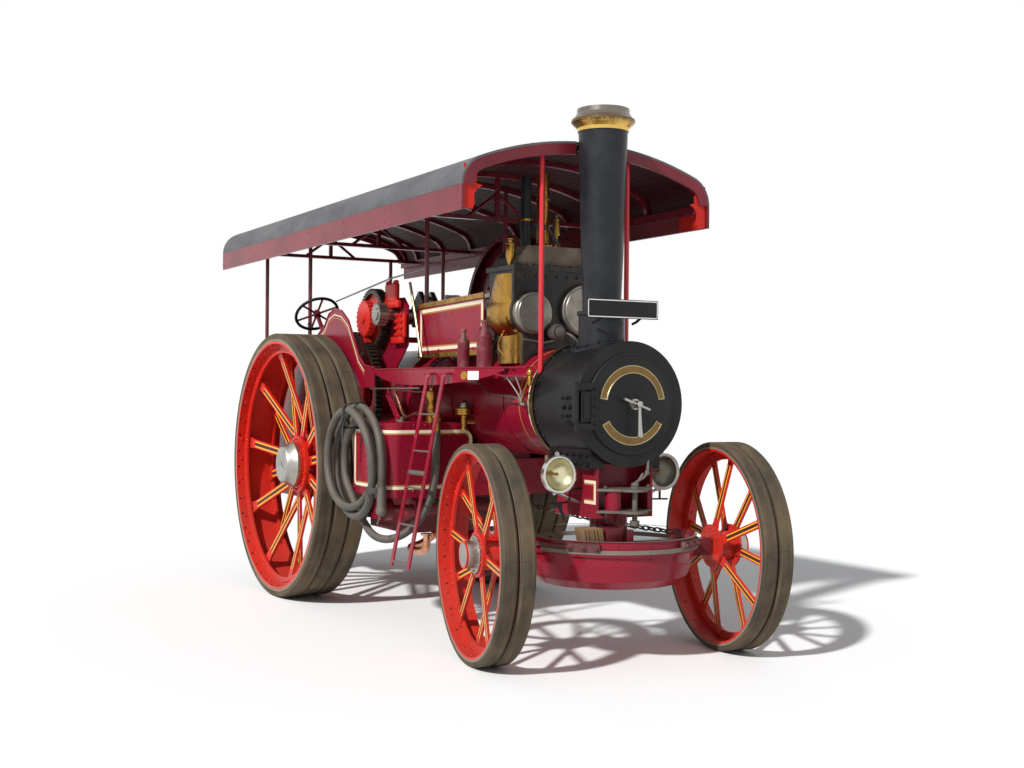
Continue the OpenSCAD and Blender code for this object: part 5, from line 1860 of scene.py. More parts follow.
@dataclass
class LampDress:
    """Head lamps: bezel, reflector, glass, loop and bracket."""

    x: float = 3310.0
    y: float = 394.0
    z: float = 1170.0

    def build(self) -> None:
        """Adds both lamps; the left one is duller, and its bracket has no plate."""
        for side, s, shell, mirror in (("right", -1.0, Look.NICKEL, Look.REFLECTOR),
                                       ("left", 1.0, Look.STEEL, Look.DULL_GLASS)):
            at, ahead = (self.x, s * self.y, self.z), (1, 0, 0)
            bezel = Bench.turned([(98, -8), (119.6, -8), (120, -4), (119, 0), (114, 2.6),
                                  (106, 2.2), (100, -1.5), (98, -8)], at=at, axis=ahead, steps=64)
            loop = Bench.pipe([(self.x - 40 + 22 * cos(a), s * self.y, self.z + 121 + 16 * sin(a))
                               for a in (pi * i / 8 for i in range(-1, 10))], 5, 6)
            vent = Bench.turned([(16, 0), (20, 4), (20, 12), (12, 20), (0, 22)],
                                at=(self.x - 40, s * self.y, self.z + 108), steps=20)
            Bench.hand_in(f"lamp_{side}_bezel", [bezel, loop, vent], shell, Slot.LAMP)
            dish = Bench.turned([(103, -9), (99, -20), (92, -32), (82, -44), (70, -54), (56, -62),
                                 (40, -69), (24, -74), (10, -76.5), (0, -77)],
                                at=at, axis=ahead, steps=64)
            Bench.hand_in(f"lamp_{side}_reflector", dish, mirror, Slot.LAMP)
            burner = Bench.turned([(0, -76), (8, -76), (8, -52), (12, -46), (10, -36), (0, -32)],
                                  at=at, axis=ahead, steps=20)
            Bench.hand_in(f"lamp_{side}_burner", burner, Look.BRASS, Slot.BRASS)
            glass = Bench.turned([(0, -2.4), (60, -3.2), (104, -6.4), (104, -8.4), (60, -5.2),
                                  (0, -4.4)], at=at, axis=ahead, steps=48)
            Bench.hand_in(f"lamp_{side}_glass", glass, Look.GLASS, Slot.LAMP)
            x, z = self.x - 50, self.z - 182
            fork = [Bench.pipe([(x, s * (self.y + 62), z), (x, s * (self.y - 78), z + 4),
                                (x, s * (self.y - 100), z + 22), (x, s * (self.y - 104), z + 84),
                                (x, s * 211, z + 90)], 6, 8),
                    Bench.pipe([(x, s * self.y, self.z - 112), (x, s * self.y, z)], 8, 8)]
            if s < 0:
                fork.append(Bench.plate(
                    [(-38, 0), (46, 0), (40, -28), (62, -104), (56, -106), (14, -30)], 7,
                    upright((x + 2, -self.y, z), (1, 0, 0)), 1))
            Bench.hand_in(f"lamp_{side}_bracket", fork, Look.BLACK, Slot.BLACK)


# Cylinder, motion and what stands on the boards


@dataclass
class CylinderDress:
    """Bulging brass skin, bright covers, nuts, ribs and fittings of the cylinder block."""

    x0: float = 2247.0
    front: float = 2600.0
    foot: float = 1872.0
    roof: float = 2476.0
    top: float = 2532.0

    def outline(self, s: float, grow: float) -> list[tuple[float, float]]:
        """The block's side from its foot to under its top plate.

        Args:
            s: -1 on the right, 1 on the left.
            grow: how far it stands off the casting.

        Returns:
            Points across and up.
        """
        bore, z, r = (207.0, 2215.0, 136.0) if s < 0 else (205.0, 2225.0, 182.0)
        low, high = 250.0 + grow, 325.0 + grow
        r += grow
        first, last = -acos((low - bore) / r), acos((high - bore) / r)
        found = [(low - 60, self.foot), (low, self.foot)]
        found += [(low, self.foot + (z + r * sin(first) - self.foot) * i / 5)
                  for i in range(1, 5)]
        for i in range(17):
            a = first + (last - first) * i / 16
            found.append((bore + r * cos(a), z + r * sin(a)))
        shoulder = found[-1][1]
        found += [(high, shoulder + (self.roof - shoulder) * i / 4) for i in range(1, 5)]
        found.append((high - 70, self.roof))
        return [(s * y, z) for y, z in found]

    def build(self) -> None:
        """Adds every piece."""
        skins = [self.skin(s) for s in (-1.0, 1.0)]
        skin = Bench.hand_in("cylinder_skin", skins, Look.BRASS, Slot.BRASS, smooth=50)
        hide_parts("cylinder_cladding")
        covers, nuts = [], []
        for y, z, r in ((-203, 2210, 147), (205, 2235, 186)):
            covers.append(Bench.turned(
                [(r + 0.6, 0.5), (r + 0.8, 26), (r - 1.5, 34), (r - 6, 40), (r - 13, 44.5),
                 (r - 22, 46), (r - 26, 50.4), (0.4 * r, 50.8), (0, 50.9)], at=(self.front, y, z),
                axis=(1, 0, 0), steps=72))
        Bench.hand_in("cylinder_covers", covers, Look.COVER, Slot.STEEL)
        for y in (-320, -240, -160, -80, 0, 80, 160, 240, 320):
            nuts.append(facing((self.front + 0.2, y, 2462), (1, 0, 0), y))
        for x in range(2240, 2600, 58):
            nuts += [facing((x, y, self.top), (0, 0, 1), x) for y in (-318, 318)]
        nuts += [facing((2590, y, self.top), (0, 0, 1), y) for y in range(-290, 300, 58)]
        nuts += [facing((x, y, self.top), (0, 0, 1), x) for y in (-297, 297)
                 for x in (2232, 2580)]
        Bench.hand_in("cylinder_nuts", Bench.stamp(hex_bolt(11, 10, 7), nuts), Look.OILY,
                      Slot.OILY)
        self.fittings()

    def skin(self, s: float) -> bpy.types.Object:
        """A closed sheet of brass that bulges round one side.

        Args:
            s: -1 on the right, 1 on the left.

        Returns:
            The sheet.
        """
        profile = ((0, -3), (0, 3), (6, 16), (20, 27), (48, 35), (110, 40), (190, 39), (262, 32),
                   (300, 22), (322, 10), (322, -3))
        rows = [self.outline(s, grow) for _, grow in profile]
        verts = [(self.x0 + dx + max(0.0, z - 2260) * 0.5 * (1 - dx / 322), y, z)
                 for (dx, _), row in zip(profile, rows) for y, z in row]
        n, m = len(rows[0]), len(profile)
        faces = [(i * n + j, i * n + j + 1, ((i + 1) % m) * n + j + 1, ((i + 1) % m) * n + j)
                 for i in range(m) for j in range(n - 1)]
        faces += [tuple(i * n for i in range(m)), tuple(i * n + n - 1 for i in range(m))]
        return Bench.shell("skin", verts, faces)

    def fittings(self) -> None:
        """Relief valve's ribs, lubricators, whistle and the pipes round the block."""
        f = self.front
        profile = [(0, 20), (40, 20)]
        for i in range(6):
            x = 26 + 13 * i
            profile += [(45.5, x), (52, x + 2), (52, x + 6), (45.5, x + 8)]
        profile += [(42, 108), (34, 110.5), (24, 116), (0, 117)]
        ribs = Bench.turned(profile, at=(f, -40, 2085), axis=(1, 0, 0), steps=40)
        stays = [Bench.pipe([(f + 60, -300, 2030), (f + 40, -120, 2010), (f + 60, 20, 2040)], 7,
                            6),
                 Bench.pipe([(f - 10, 70, 2085), (f + 50, 90, 2060), (f + 52, 150, 2000)], 11, 8,
                            smooth=True)]
        Bench.hand_in("relief_valve", [ribs] + stays, Look.DUSTY_STEEL, Slot.OILY)
        brass = [
            Bench.turned([(12.6, 0), (14, 8), (30.8, 62), (31.5, 70), (31.5, 142), (26, 152),
                          (13, 158), (13, 170), (20, 176), (20, 184), (10, 196), (0, 198)],
                         at=(2500, -312, self.top), steps=32),
            Bench.turned([(24.6, 2), (25.5, 12), (25.5, 96), (18, 112), (9, 120), (9, 140),
                          (0, 146)], at=(2480, 60, 2761), steps=28),
            Bench.turned([(26.6, 0), (30, 4), (30, 14), (26.8, 20), (26.8, 120), (18, 140),
                          (12, 150), (12, 172), (0, 178)], at=(2280, 60, 2676), steps=28),
            Bench.turned([(64.6, 0), (64.8, 22), (58, 26), (46, 34), (44, 60)],
                         at=(2400, 0, 2673), steps=40),
            Bench.pipe([(2570, -392, 2085), (2590, -420, 2060), (2560, -430, 1980),
                        (2600, -400, 1905)], 6, 6, smooth=True)]
        for z in (2820, 3010):
            brass.append(Bench.turned([(43.4, 0), (48, 3), (48, 15), (43.4, 18)],
                                      at=(2400, 0, z), steps=40))
        Bench.hand_in("block_brassware", brass, Look.BRASS, Slot.BRASS)
        lever = [Bench.pipe([(2480, 60, 2905), (2520, 20, 2830), (2570, -20, 2720)], 6, 6),
                 Bench.pipe([(2380, -120, 2672), (2380, -120, 2810), (2500, -40, 2812),
                             (2540, 50, 2680)], 13, 8, smooth=True)]
        Bench.hand_in("valve_levers", lever, Look.OILY, Slot.OILY)
        duct = [Bench.turned([(0, 0), (36, 0), (36, 482), (0, 482)], at=(2425, -150, 2672),
                             steps=28)]
        Bench.hand_in("exhaust_pipe", duct, Look.STACK, Slot.BLACK)
        band = Bench.turned([(36.2, 0), (41, 2), (41, 16), (36.2, 18)], at=(2425, -150, 2850),
                            steps=28)
        Bench.hand_in("exhaust_band", band, Look.BRASS, Slot.BRASS)


@dataclass
class MotionDress:
    """Covers beside the motion: brass strips, lining, rivets; red gear castings behind."""

    y: float = 364.0
    x0: float = 1140.0
    x1: float = 2214.7

    def height(self, x: float, z0: float, z1: float) -> float:
        """A level line's height that rises along the cover."""
        return z0 + (z1 - z0) * (x - self.x0) / (self.x1 - self.x0)

    def build(self) -> None:
        """Adds every piece."""
        brass, cream, gold, spots = [], [], [], []
        for s in (-1.0, 1.0):
            for z0, z1, tall, rise in ((1925, 1935, 36, 10), (2304, 2334, 34, 30)):
                outline = [(self.x0 + 1, z0), (self.x1 - 1, z1), (self.x1 - 1, z1 + tall),
                           (self.x0 + 1, z0 + tall)]
                brass.append(lofted([[(x, s * y, z) for x, z in outline]
                                     for y in (self.y - 2, self.y + 1.4)]))
                for i in range(9):
                    x = self.x0 + 30 + i * (self.x1 - self.x0 - 60) / 8
                    z = self.height(x, z0, z1) + tall / 2
                    spots.append(facing((x, s * (self.y + 1.2), z), (0, s, 0)))
            face = s * (self.y - 4)
            for inset, wide, group in ((0, 25, cream), (19, 7, gold)):
                corners = [(1190 + inset, 1992 + inset), (2190 - inset, 2004 + inset),
                           (2190 - inset, 2306 - inset), (1190 + inset, 2278 - inset)]
                group.append(ribbon([(x, face, z) for x, z in corners], wide, (0, s, 0),
                                    closed=True))
        Bench.hand_in("motion_brass_strips", brass, Look.BRASS, Slot.BRASS)
        Bench.hand_in("motion_cream_lines", cream, Look.CREAM_LINE, Slot.CRIMSON)
        Bench.hand_in("motion_gold_lines", gold, Look.GOLD_LINE, Slot.CRIMSON)
        Bench.hand_in("motion_strip_rivets", Bench.stamp(rivet(6, 4, 8), spots), Look.BRASS,
                      Slot.BRASS)
        heads = [facing((x, -(self.y - 4), self.height(x, 2225, 2250)), (0, -1, 0))
                 for x in range(1500, 2160, 110)]
        Bench.hand_in("motion_cover_rivets", Bench.stamp(rivet(6, 4, 8), heads), Look.CRIMSON,
                      Slot.CRIMSON)
        self.castings()

    def castings(self) -> None:
        """Red bearing castings outside the hornplates, with nuts, and rods of the gear."""
        red, nuts = [], []
        for s in (-1.0, 1.0):
            y = s * 452
            red += [Bench.soften(Bench.block((210, 40, 150), (CRANK_X, y, 2440)), 14, 3),
                    Bench.soften(Bench.block((290, 34, 60), (CRANK_X, y, 2350)), 8, 2),
                    Bench.soften(Bench.block((150, 34, 190), (1020, s * 448, 2180)), 12, 3),
                    Bench.soften(Bench.block((220, 30, 54), (960, s * 450, 2070)), 8, 2)]
            for x in (760, 800, 900, 940):
                nuts.append(facing((x, y, 2515), (0, 0, 1), x))
            for z in (2110, 2160, 2210, 2260):
                nuts += [facing((x, s * 465, z), (0, s, 0), z) for x in (975, 1062)]
        Bench.hand_in("bearing_castings", red, Look.VERMILION, Slot.VERMILION)
        Bench.hand_in("bearing_nuts", Bench.stamp(hex_bolt(17, 14, 9), nuts), Look.VERMILION,
                      Slot.VERMILION)
        rods = [Bench.pipe([(1177, -450, 2500), (1290, -452, 2225), (1401, -455, 1930)], 11, 8)]
        Bench.hand_in("reversing_rod", rods, Look.PALE_BRASS, Slot.BRASS)
        steel = [Bench.pipe([(-60, -560, 2420), (760, -430, 2560), (1180, -300, 2620)], 7, 6),
                 Bench.turned([(0, -15), (12, -11), (15, 0), (12, 11), (0, 15)],
                              at=(750, -432, 2560), steps=14)]
        Bench.hand_in("regulator_rod", steel, Look.STEEL, Slot.STEEL)


@dataclass
class BoardDress:
    """What stands on the running boards and hangs under them."""

    top: float = 1840.0

    def can(self, at: Point, r: float, h: float) -> list[bpy.types.Object]:
        """An oil can with its neck, spout and handle.

        Args:
            at: the middle of its foot.
            r: its radius.
            h: its height.

        Returns:
            Its parts.
        """
        x, y, z = at
        body = Bench.turned([(0, 0), (r, 0), (r + 1.5, 3), (r, 7), (r, 0.62 * h),
                             (r + 1, 0.64 * h), (r, 0.67 * h), (0.42 * r, 0.84 * h),
                             (0.36 * r, 0.94 * h), (0.5 * r, 0.95 * h), (0.5 * r, h), (0, h)],
                            at=at, steps=32)
        spout = Bench.pipe([(x + 0.7 * r, y - 6, z + 0.66 * h), (x + 1.4 * r, y - 22, z + 0.9 * h),
                            (x + 1.9 * r, y - 34, z + 0.98 * h)], 5, 6)
        handle = Bench.pipe([(x - 0.4 * r, y, z + 0.86 * h), (x - 1.2 * r, y, z + 0.84 * h),
                             (x - 1.35 * r, y, z + 0.6 * h), (x - r, y, z + 0.36 * h)], 4.5, 6,
                            smooth=True)
        return [body, spout, handle]

    def build(self) -> None:
        """Adds cans, discs, the cover plate, knobs and rods."""
        cans = (self.can((2492, -500, self.top), 53, 318)
                + self.can((2262, -540, self.top), 42, 262))
        Bench.hand_in("oil_cans", cans, Look.DUSTY_RED, Slot.MAROON)
        edge = [Bench.pipe([(1100, -703, 1837), (2450, -703, 1837), (2960, -440, 1837)], 5, 6),
                Bench.pipe([(1570, 703, 1837), (2450, 703, 1837), (2960, 440, 1837)], 5, 6)]
        Bench.hand_in("board_edges", edge, Look.CRIMSON, Slot.CRIMSON)
        disc = Bench.turned([(0, 0), (27, 0), (27, 2), (22, 3.4), (20, 2.6), (0, 2.6)],
                            at=(2521, -666.5, 1785), axis=(0.458, -0.889, 0), steps=32)
        Bench.hand_in("valance_disc", disc, Look.BRASS, Slot.BRASS)
        blank = Bench.plate(rounded(-45, -29, 45, 29, 4, 3), 2.2,
                            upright((2588, -632.5, 1785), (0.458, -0.889, 0)), 0.6)
        Bench.hand_in("valance_plate", blank, Look.WHITE, Slot.CRIMSON)
        knob = Bench.turned([(0, 0), (15, 2), (19, 12), (19, 24), (14, 34), (0, 38)],
                            at=(3025, -452, 1785), steps=20)
        drop = [Bench.turned([(4, 0), (15, -30), (9, -70)], at=(3022, -452, 1790), steps=16),
                Bench.pipe([(3022, -452, 1760), (2990, -455, 1725), (2925, -440, 1665),
                            (2870, -420, 1606)], 9, 8, smooth=True)]
        Bench.hand_in("drain_knob", [knob] + drop, Look.BRASS, Slot.BRASS)
        rods = [Bench.pipe([(2700, -566, 1804), (2780, -525, 1784), (2900, -492, 1783),
                            (3022, -454, 1796)], 7, 6, smooth=True)]
        Bench.hand_in("drain_rod", rods, Look.CRIMSON, Slot.CRIMSON)
        thin = [Bench.pipe([(2870, -470, 1780), (2885, -440, 1690), (2880, -425, 1610)], 5, 6),
                Bench.pipe([(2790, -500, 1785), (2850, -450, 1680), (2872, -425, 1620)], 5, 6),
                Bench.pipe([(1010, -700, 1692), (1907, -706, 1698)], 5, 6)]
        Bench.hand_in("drain_linkage", thin, Look.STEEL, Slot.STEEL)
        spots = ((1180, 1812), (1420, 1800), (1700, 1795), (1980, 1795), (2250, 1797))
        seams = [facing((x, -703, z), (0, -1, 0)) for x, z in spots]
        Bench.hand_in("valance_rivets", Bench.stamp(rivet(7, 4.5), seams), Look.CRIMSON,
                      Slot.CRIMSON)


@dataclass
class LadderDress:
    """Flat stringers bent like a cane at the top, thin rungs and one thick step."""

    feet: tuple[Point, Point] = ((1995, -945, 480), (2268, -945, 486))
    heads: tuple[Point, Point] = ((2120, -745, 1765), (2370, -745, 1765))
    rungs: tuple[float, ...] = (0.19, 0.385, 0.58, 0.775, 0.975)
    step: float = 0.5

    def build(self) -> None:
        """Makes the ladder in place of the plain one."""
        rails = []
        for foot, head in zip(self.feet, self.heads):
            a, b = Vector(foot), Vector(head)
            line = [a, b, b + Vector((2, 6, 18)), b + Vector((5, 20, 31)), b + Vector((7, 41, 36))]
            rows = []
            for i, p in enumerate(line):
                ahead = line[min(i + 1, 4)] - line[max(i - 1, 0)]
                out = ahead.cross(Vector((1, 0, 0))).normalized() * 6
                side = Vector((22, 0, 0))
                rows.append([p - side - out, p + side - out, p + side + out, p - side + out])
            rails.append(Bench.soften(lofted(rows), 2.0, 1, 60))
        ladder = Bench.hand_in("boarding_ladder", rails, Look.CRIMSON, Slot.MAROON)
        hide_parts("ladder")
        spans = [[Vector(head).lerp(Vector(foot), t) for foot, head in zip(self.feet, self.heads)]
                 for t in self.rungs + (self.step,)]
        rungs = [Bench.pipe([a, b], 7, 8) for a, b in spans[:-1]]
        a, b = spans[-1]
        ahead = (b - a).normalized()
        rungs.append(Bench.turned([(0, 0), (14, 1), (17, 8), (17, (b - a).length - 8),
                                   (14, (b - a).length - 1), (0, (b - a).length)],
                                  at=tuple(a), axis=tuple(ahead), steps=20))
        Bench.hand_in("ladder_rungs", rungs, Look.DUSTY_STEEL, Slot.MAROON)


# Canopy


@dataclass
class CanopyDress:
    """Ceiling boards darkened as painted shade, beads, screws, corner brackets, and panels of
    painted sunlight in the front corners of the canopy.
    """

    x0: float = -2008.0
    x1: float = 3035.0
    half: float = 954.0
    shoulder_z: float = 2966.0
    top: float = 3310.0
    shoulder_r: float = 200.0
    sheet: float = 14.0

    def section(self, drop: float, count: int) -> list[tuple[float, float]]:
        """The roof's section from its right edge to its left one, drop under its top.

        Args:
            drop: how far under the top it runs.
            count: facets of the crown.

        Returns:
            Points across and up.
        """
        inner = self.half - self.shoulder_r
        rise = self.top - self.shoulder_z
        crown = (inner ** 2 + rise ** 2 - self.shoulder_r ** 2) / (2 * (rise - self.shoulder_r))
        centre = self.top - crown
        lean = atan2(inner, self.shoulder_z - centre)
        found = []
        for i in range(9):
            a = pi - (pi / 2 - lean) * i / 8
            found.append((-inner + (self.shoulder_r - drop) * cos(a),
                          self.shoulder_z + (self.shoulder_r - drop) * sin(a)))
        for i in range(1, count):
            a = -lean + 2 * lean * i / count
            found.append(((crown - drop) * sin(a), centre + (crown - drop) * cos(a)))
        return found + [(-y, z) for y, z in reversed(found[:9])]

    def build(self) -> None:
        """Adds every piece."""
        self.ceiling()
        self.beads()
        screws = []
        for s in (-1.0, 1.0):
            for x in (-1960, -1200, -440, 320, 1080, 1840, 2985):
                screws += [facing((x, s * self.half, z), (0, s, 0)) for z in (2850, 2930)]
        Bench.hand_in("board_screws", Bench.stamp(rivet(7, 2.4, 8), screws), Look.DARK_LINE,
                      Slot.MAROON)
        self.brackets()

    def ceiling(self) -> None:
        """Narrow boards under the roof sheet, in lengths with a groove between them, their maroon
        darkened as painted shade.
        """
        line = self.section(self.sheet + 0.4, 26)
        low = self.section(self.sheet + 7.4, 26)
        verts: list = []
        faces: list = []
        for (a, b), (c, d) in zip(zip(line, line[1:]), zip(low, low[1:])):
            p, q, r, t = Vector(a), Vector(b), Vector(c), Vector(d)
            corners = [p.lerp(q, 0.03), p.lerp(q, 0.97), r.lerp(t, 0.97), r.lerp(t, 0.03)]
            base = len(verts)
            verts += [(x, y, z) for x in (self.x0 + 21, 2920.0) for y, z in corners]
            faces += [tuple(base + i for i in f) for f in (
                (0, 1, 2, 3), (7, 6, 5, 4), (0, 4, 5, 1), (1, 5, 6, 2), (2, 6, 7, 3),
                (3, 7, 4, 0))]
        Bench.hand_in("ceiling_boards", Bench.shell("boards", verts, faces), Look.CEILING,
                      Slot.WOOD)

    def beads(self) -> None:
        """Worn beads along the roof's ends, and cords along its sides."""
        front = [(self.x1 - 4, y, z) for y, z in self.section(3.2, 26)]
        gap = [i for i, p in enumerate(front) if abs(p[1]) < 190]
        back = [(self.x0 + 4, y, z) for y, z in self.section(3.2, 26)]
        pieces = [Bench.pipe(front[:gap[0]], 4, 6), Bench.pipe(front[gap[-1] + 1:], 4, 6),
                  Bench.pipe(back, 4, 6)]
        Bench.hand_in("roof_beads", pieces, Look.EDGE, Slot.CANVAS)
        edge = [Bench.pipe([(self.x0 + 6, s * (self.half - 3.4), 2967),
                            (self.x1 - 6, s * (self.half - 3.4), 2967)], 3.8, 6)
                for s in (-1, 1)]
        Bench.hand_in("roof_edge_cords", edge, Look.STACK, Slot.CANVAS)

    def brackets(self) -> None:
        """Scalloped brackets, and vermilion panels inside the front corners that are painted
        sunlight on the boards.
        """
        panel = []
        outline = [(0, 0), (0, 330), (-60, 300), (-92, 240), (-84, 190), (-130, 176), (-96, 150),
                   (-70, 110), (-76, 40), (-60, 0)]
        for s in (-1.0, 1.0):
            panel.append(lofted([[(x, s * (self.half - 24 + y), 2816 + z * 0.86)
                                  for y, z in outline] for x in (3012.0, 3020.0)]))
            # The vermilion panel over the boards is painted sunlight on the corner's red paint.
            middle = (2868, s * (self.half - 22.4), 2888)
            panel.append(Bench.soften(Bench.block((300, 4, 150), middle), 1.5, 1))
        Bench.hand_in("corner_brackets_and_sunlit_panels", panel, Look.VERMILION, Slot.VERMILION)


# Tender, splasher, platform and number plate


@dataclass
class TenderDress:
    """Coal, rivets and lining of the tender; gauges and levers on the footplate."""

    half: float = 654.0
    back: float = -1750.0
    rows: tuple[float, ...] = (790.0, 1225.0, 1935.0)
    panel_low: float = 1290.0
    panel_high: float = 1890.0

    def build(self) -> None:
        """Adds every piece."""
        self.coal()
        spots, cream, gold = [], [], []
        panels = [(upright((0, s * self.half, 0), (0, s, 0)), ends)
                  for s, ends in ((-1.0, (-1660, -1010)), (1.0, (1010, 1660)))]
        panels.append((upright((self.back, 0, 0), (-1, 0, 0)), (-560, 560)))
        for place, (x0, x1) in panels:
            broad, fine = frame_lines((x0, self.panel_low, x1, self.panel_high), 40, place, 9,
                                      30, 5)
            cream.append(broad)
            gold.append(fine)
        for s in (-1.0, 1.0):
            for z in self.rows:
                spots += along((-1650, s * self.half, z), (-1010, s * self.half, z), 9, (0, s, 0))
        for z in self.rows:
            spots += along((self.back, -560, z), (self.back, 560, z), 14, (-1, 0, 0))
        Bench.hand_in("tender_rivets", Bench.stamp(rivet(8, 5.5), spots), Look.DEEP, Slot.MAROON)
        Bench.hand_in("tender_cream_lines", cream, Look.CREAM_LINE, Slot.MAROON)
        Bench.hand_in("tender_gold_lines", gold, Look.GOLD_LINE, Slot.MAROON)
        self.controls()

    def coal(self) -> None:
        """A heap of lumps with a rough bed under it."""
        Bench.clear()
        bpy.ops.mesh.primitive_ico_sphere_add(subdivisions=1, radius=1.0)
        lump = bpy.context.object
        for i, v in enumerate(lump.data.vertices):
            v.co *= 0.78 + 0.34 * ((i * 37) % 11) / 10
        places = []
        step, rows, columns = 62, 10, 19
        for count in range(1, rows * columns + 1):
            i, j = divmod(count - 1, columns)
            x = -1700 + step * i + 26 * sin(count * 2.3)
            y = -570 + step * j + 24 * cos(count * 3.1)
            bulge = 1 - (y / 640) ** 2
            z = 1700 + 170 * bulge + 40 * sin(count * 1.7)
            size = 40 + 12 * sin(count * 5.1)
            places.append(Matrix.Translation((x, y, z)) @ Matrix.Rotation(count * 1.1, 4, "Z")
                          @ Matrix.Rotation(count * 0.7, 4, "X") @ Matrix.Scale(size, 4))
        heap = Bench.stamp(lump, places)
        Bench.hand_in("coal_heap", heap, Look.COAL, Slot.BLACK, smooth=10)
        bed = Bench.soften(Bench.block((730, 1270, 380), (-1368, 0, 1510)), 40, 2)
        Bench.hand_in("coal_bed", bed, Look.COAL, Slot.BLACK)

    def controls(self) -> None:
        """Gauges, regulator, fire door and brake column in front of the footplate."""
        brass, dials, iron = [], [], []
        for y, z, r in ((-120, 1860, 62), (90, 1880, 48)):
            brass.append(Bench.turned([(0, 0), (r, 0), (r, 26), (r - 6, 30), (r - 9, 27),
                                       (r - 9, 24), (0, 24)], at=(62, y, z), axis=(-1, 0, 0),
                                      steps=40))
            dials.append(Bench.turned([(0, 24.4), (r - 9.6, 24.4), (r - 9.6, 25.4), (0, 25.6)],
                                      at=(62, y, z), axis=(-1, 0, 0), steps=32))
        glass = Bench.turned([(0, 0), (14, 0), (14, 20), (9, 26), (9, 214), (14, 220), (14, 240),
                              (0, 240)], at=(40, -250, 1560), steps=16)
        brass.append(glass)
        iron.append(Bench.soften(Bench.block((26, 330, 250), (50, 0, 1420)), 12, 2))
        iron.append(Bench.pipe([(30, -40, 1740), (-40, -60, 1780), (-60, 150, 1790)], 11, 8,
                               smooth=True))
        iron.append(Bench.pipe([(-420, 340, 1250), (-420, 340, 2010), (-420, 240, 2016)], 13, 8))
        Bench.hand_in("gauge_cases", brass, Look.BRASS, Slot.BRASS)
        Bench.hand_in("gauge_dials", dials, Look.WHITE_METAL, Slot.LAMP)
        Bench.hand_in("footplate_irons", iron, Look.BLACK, Slot.BLACK)


@dataclass
class TrimDress:
    """Splasher's bead, flywheel's lines, steering wheel's rim and the bare plate in front."""

    edge: tuple[tuple[float, float], ...] = (
        (1100, 1848), (900, 1870), (780, 1950), (680, 2080), (560, 2230), (420, 2310),
        (270, 2335), (140, 2300), (50, 2210), (-120, 2130), (-420, 2080))
    hub: Point = (-250, -660, 2320)
    worm: Point = (1090, -640, 880)
    rim_r: float = 180.0
    plate_at: Point = (3404, 0, 2205)

    def build(self) -> None:
        """Adds every piece."""
        self.flywheel()
        bead = Bench.pipe([(x, -700, z) for x, z in self.edge], 9, 8)
        Bench.hand_in("splasher_bead", bead, Look.CRIMSON, Slot.CRIMSON)
        inner = [(x, z - 46) for x, z in self.edge[1:-1]]
        line = ribbon([(x, -703, z) for x, z in inner], 9, (0, -1, 0))
        Bench.hand_in("splasher_line", line, Look.CREAM_LINE, Slot.CRIMSON)
        fine = ribbon([(x, -703, z - 24) for x, z in inner], 5, (0, -1, 0))
        Bench.hand_in("splasher_fine_line", fine, Look.GOLD_LINE, Slot.CRIMSON)
        self.rim()
        self.plate()

    def flywheel(self) -> None:
        """Lining rings on the flywheel's outer face, and the nuts of its hub."""
        x, z, out = CRANK_X, CRANK_Z, (0, 1, 0)
        rings = (("flywheel_cream_line", 560, 15, Look.CREAM_LINE),
                 ("flywheel_gold_line", 535, 6, Look.GOLD_LINE),
                 ("flywheel_hub_line", 186, 11, Look.CREAM_LINE))
        for name, r, wide, look in rings:
            ring = Bench.turned([(r, -1), (r, 0.9), (r + wide, 0.9), (r + wide, -1), (r, -1)],
                                at=(x, 628, z), axis=out, steps=96)
            Bench.hand_in(name, ring, look, Slot.MAROON, Body.CRANK)
        nuts = [facing((x + 86 * cos(i * pi / 3), 690, z + 86 * sin(i * pi / 3)), out, i)
                for i in range(6)]
        Bench.hand_in("flywheel_nuts", Bench.stamp(hex_bolt(15, 12, 8), nuts), Look.STEEL,
                      Slot.STEEL, Body.CRANK)

    def rim(self) -> None:
        """A black ring over the steering wheel's rim, with its nut."""
        hub = Vector(self.hub)
        shaft = (Vector(self.worm) - hub).normalized()
        turn = Vector((0, 0, 1)).rotation_difference(shaft).to_matrix().to_4x4()
        Bench.clear()
        bpy.ops.mesh.primitive_torus_add(major_radius=self.rim_r, minor_radius=12.7,
                                         major_segments=72, minor_segments=14)
        ring = bpy.context.object
        ring.data.transform(Matrix.Translation(hub) @ turn)
        Bench.hand_in("steering_rim", ring, Look.BLACK, Slot.BLACK, Body.HAND_WHEEL)
        nut = hex_bolt(18, 16, 10)
        nut.data.transform(Matrix.Translation(hub - 20 * shaft) @ turn
                           @ Matrix.Rotation(pi, 4, "X"))
        Bench.hand_in("steering_nut", nut, Look.STEEL, Slot.STEEL, Body.HAND_WHEEL)
        knob = Bench.turned([(8, 0), (8, 14), (15, 22), (17, 46), (12, 66), (0, 70)],
                            at=tuple(hub + turn @ Vector((self.rim_r, 0, 0))),
                            axis=tuple(-shaft), steps=20)
        Bench.hand_in("steering_knob", knob, Look.BLACK, Slot.BLACK, Body.HAND_WHEEL)

    def plate(self) -> None:
        """A bare black plate with a white border on a bar across the chimney."""
        place = upright(self.plate_at, (1, 0, 0))
        board = Bench.plate(rounded(-267, -60, 267, 60, 6, 3), 5, place, 1)
        Bench.hand_in("front_plate", board, Look.BLACK, Slot.BLACK)
        line = [(x, y, 5.2) for x, y in rounded(-259, -52, 259, 52, 6, 3)]
        border = ribbon(line, 6, (0, 0, 1), closed=True)
        border.data.transform(place)
        Bench.hand_in("front_plate_border", border, Look.WHITE, Slot.LAMP)
        bar = [Bench.soften(Bench.block((8, 520, 26), (3398, 0, 2160)), 2, 1),
               Bench.pipe([(3396, -150, 2160), (3330, -152, 2130), (3290, -150, 2120)], 9, 6),
               Bench.pipe([(3396, 150, 2160), (3330, 152, 2130), (3290, 150, 2120)], 9, 6)]
        Bench.hand_in("front_plate_bar", bar, Look.BLACK, Slot.BLACK)


# Wheels


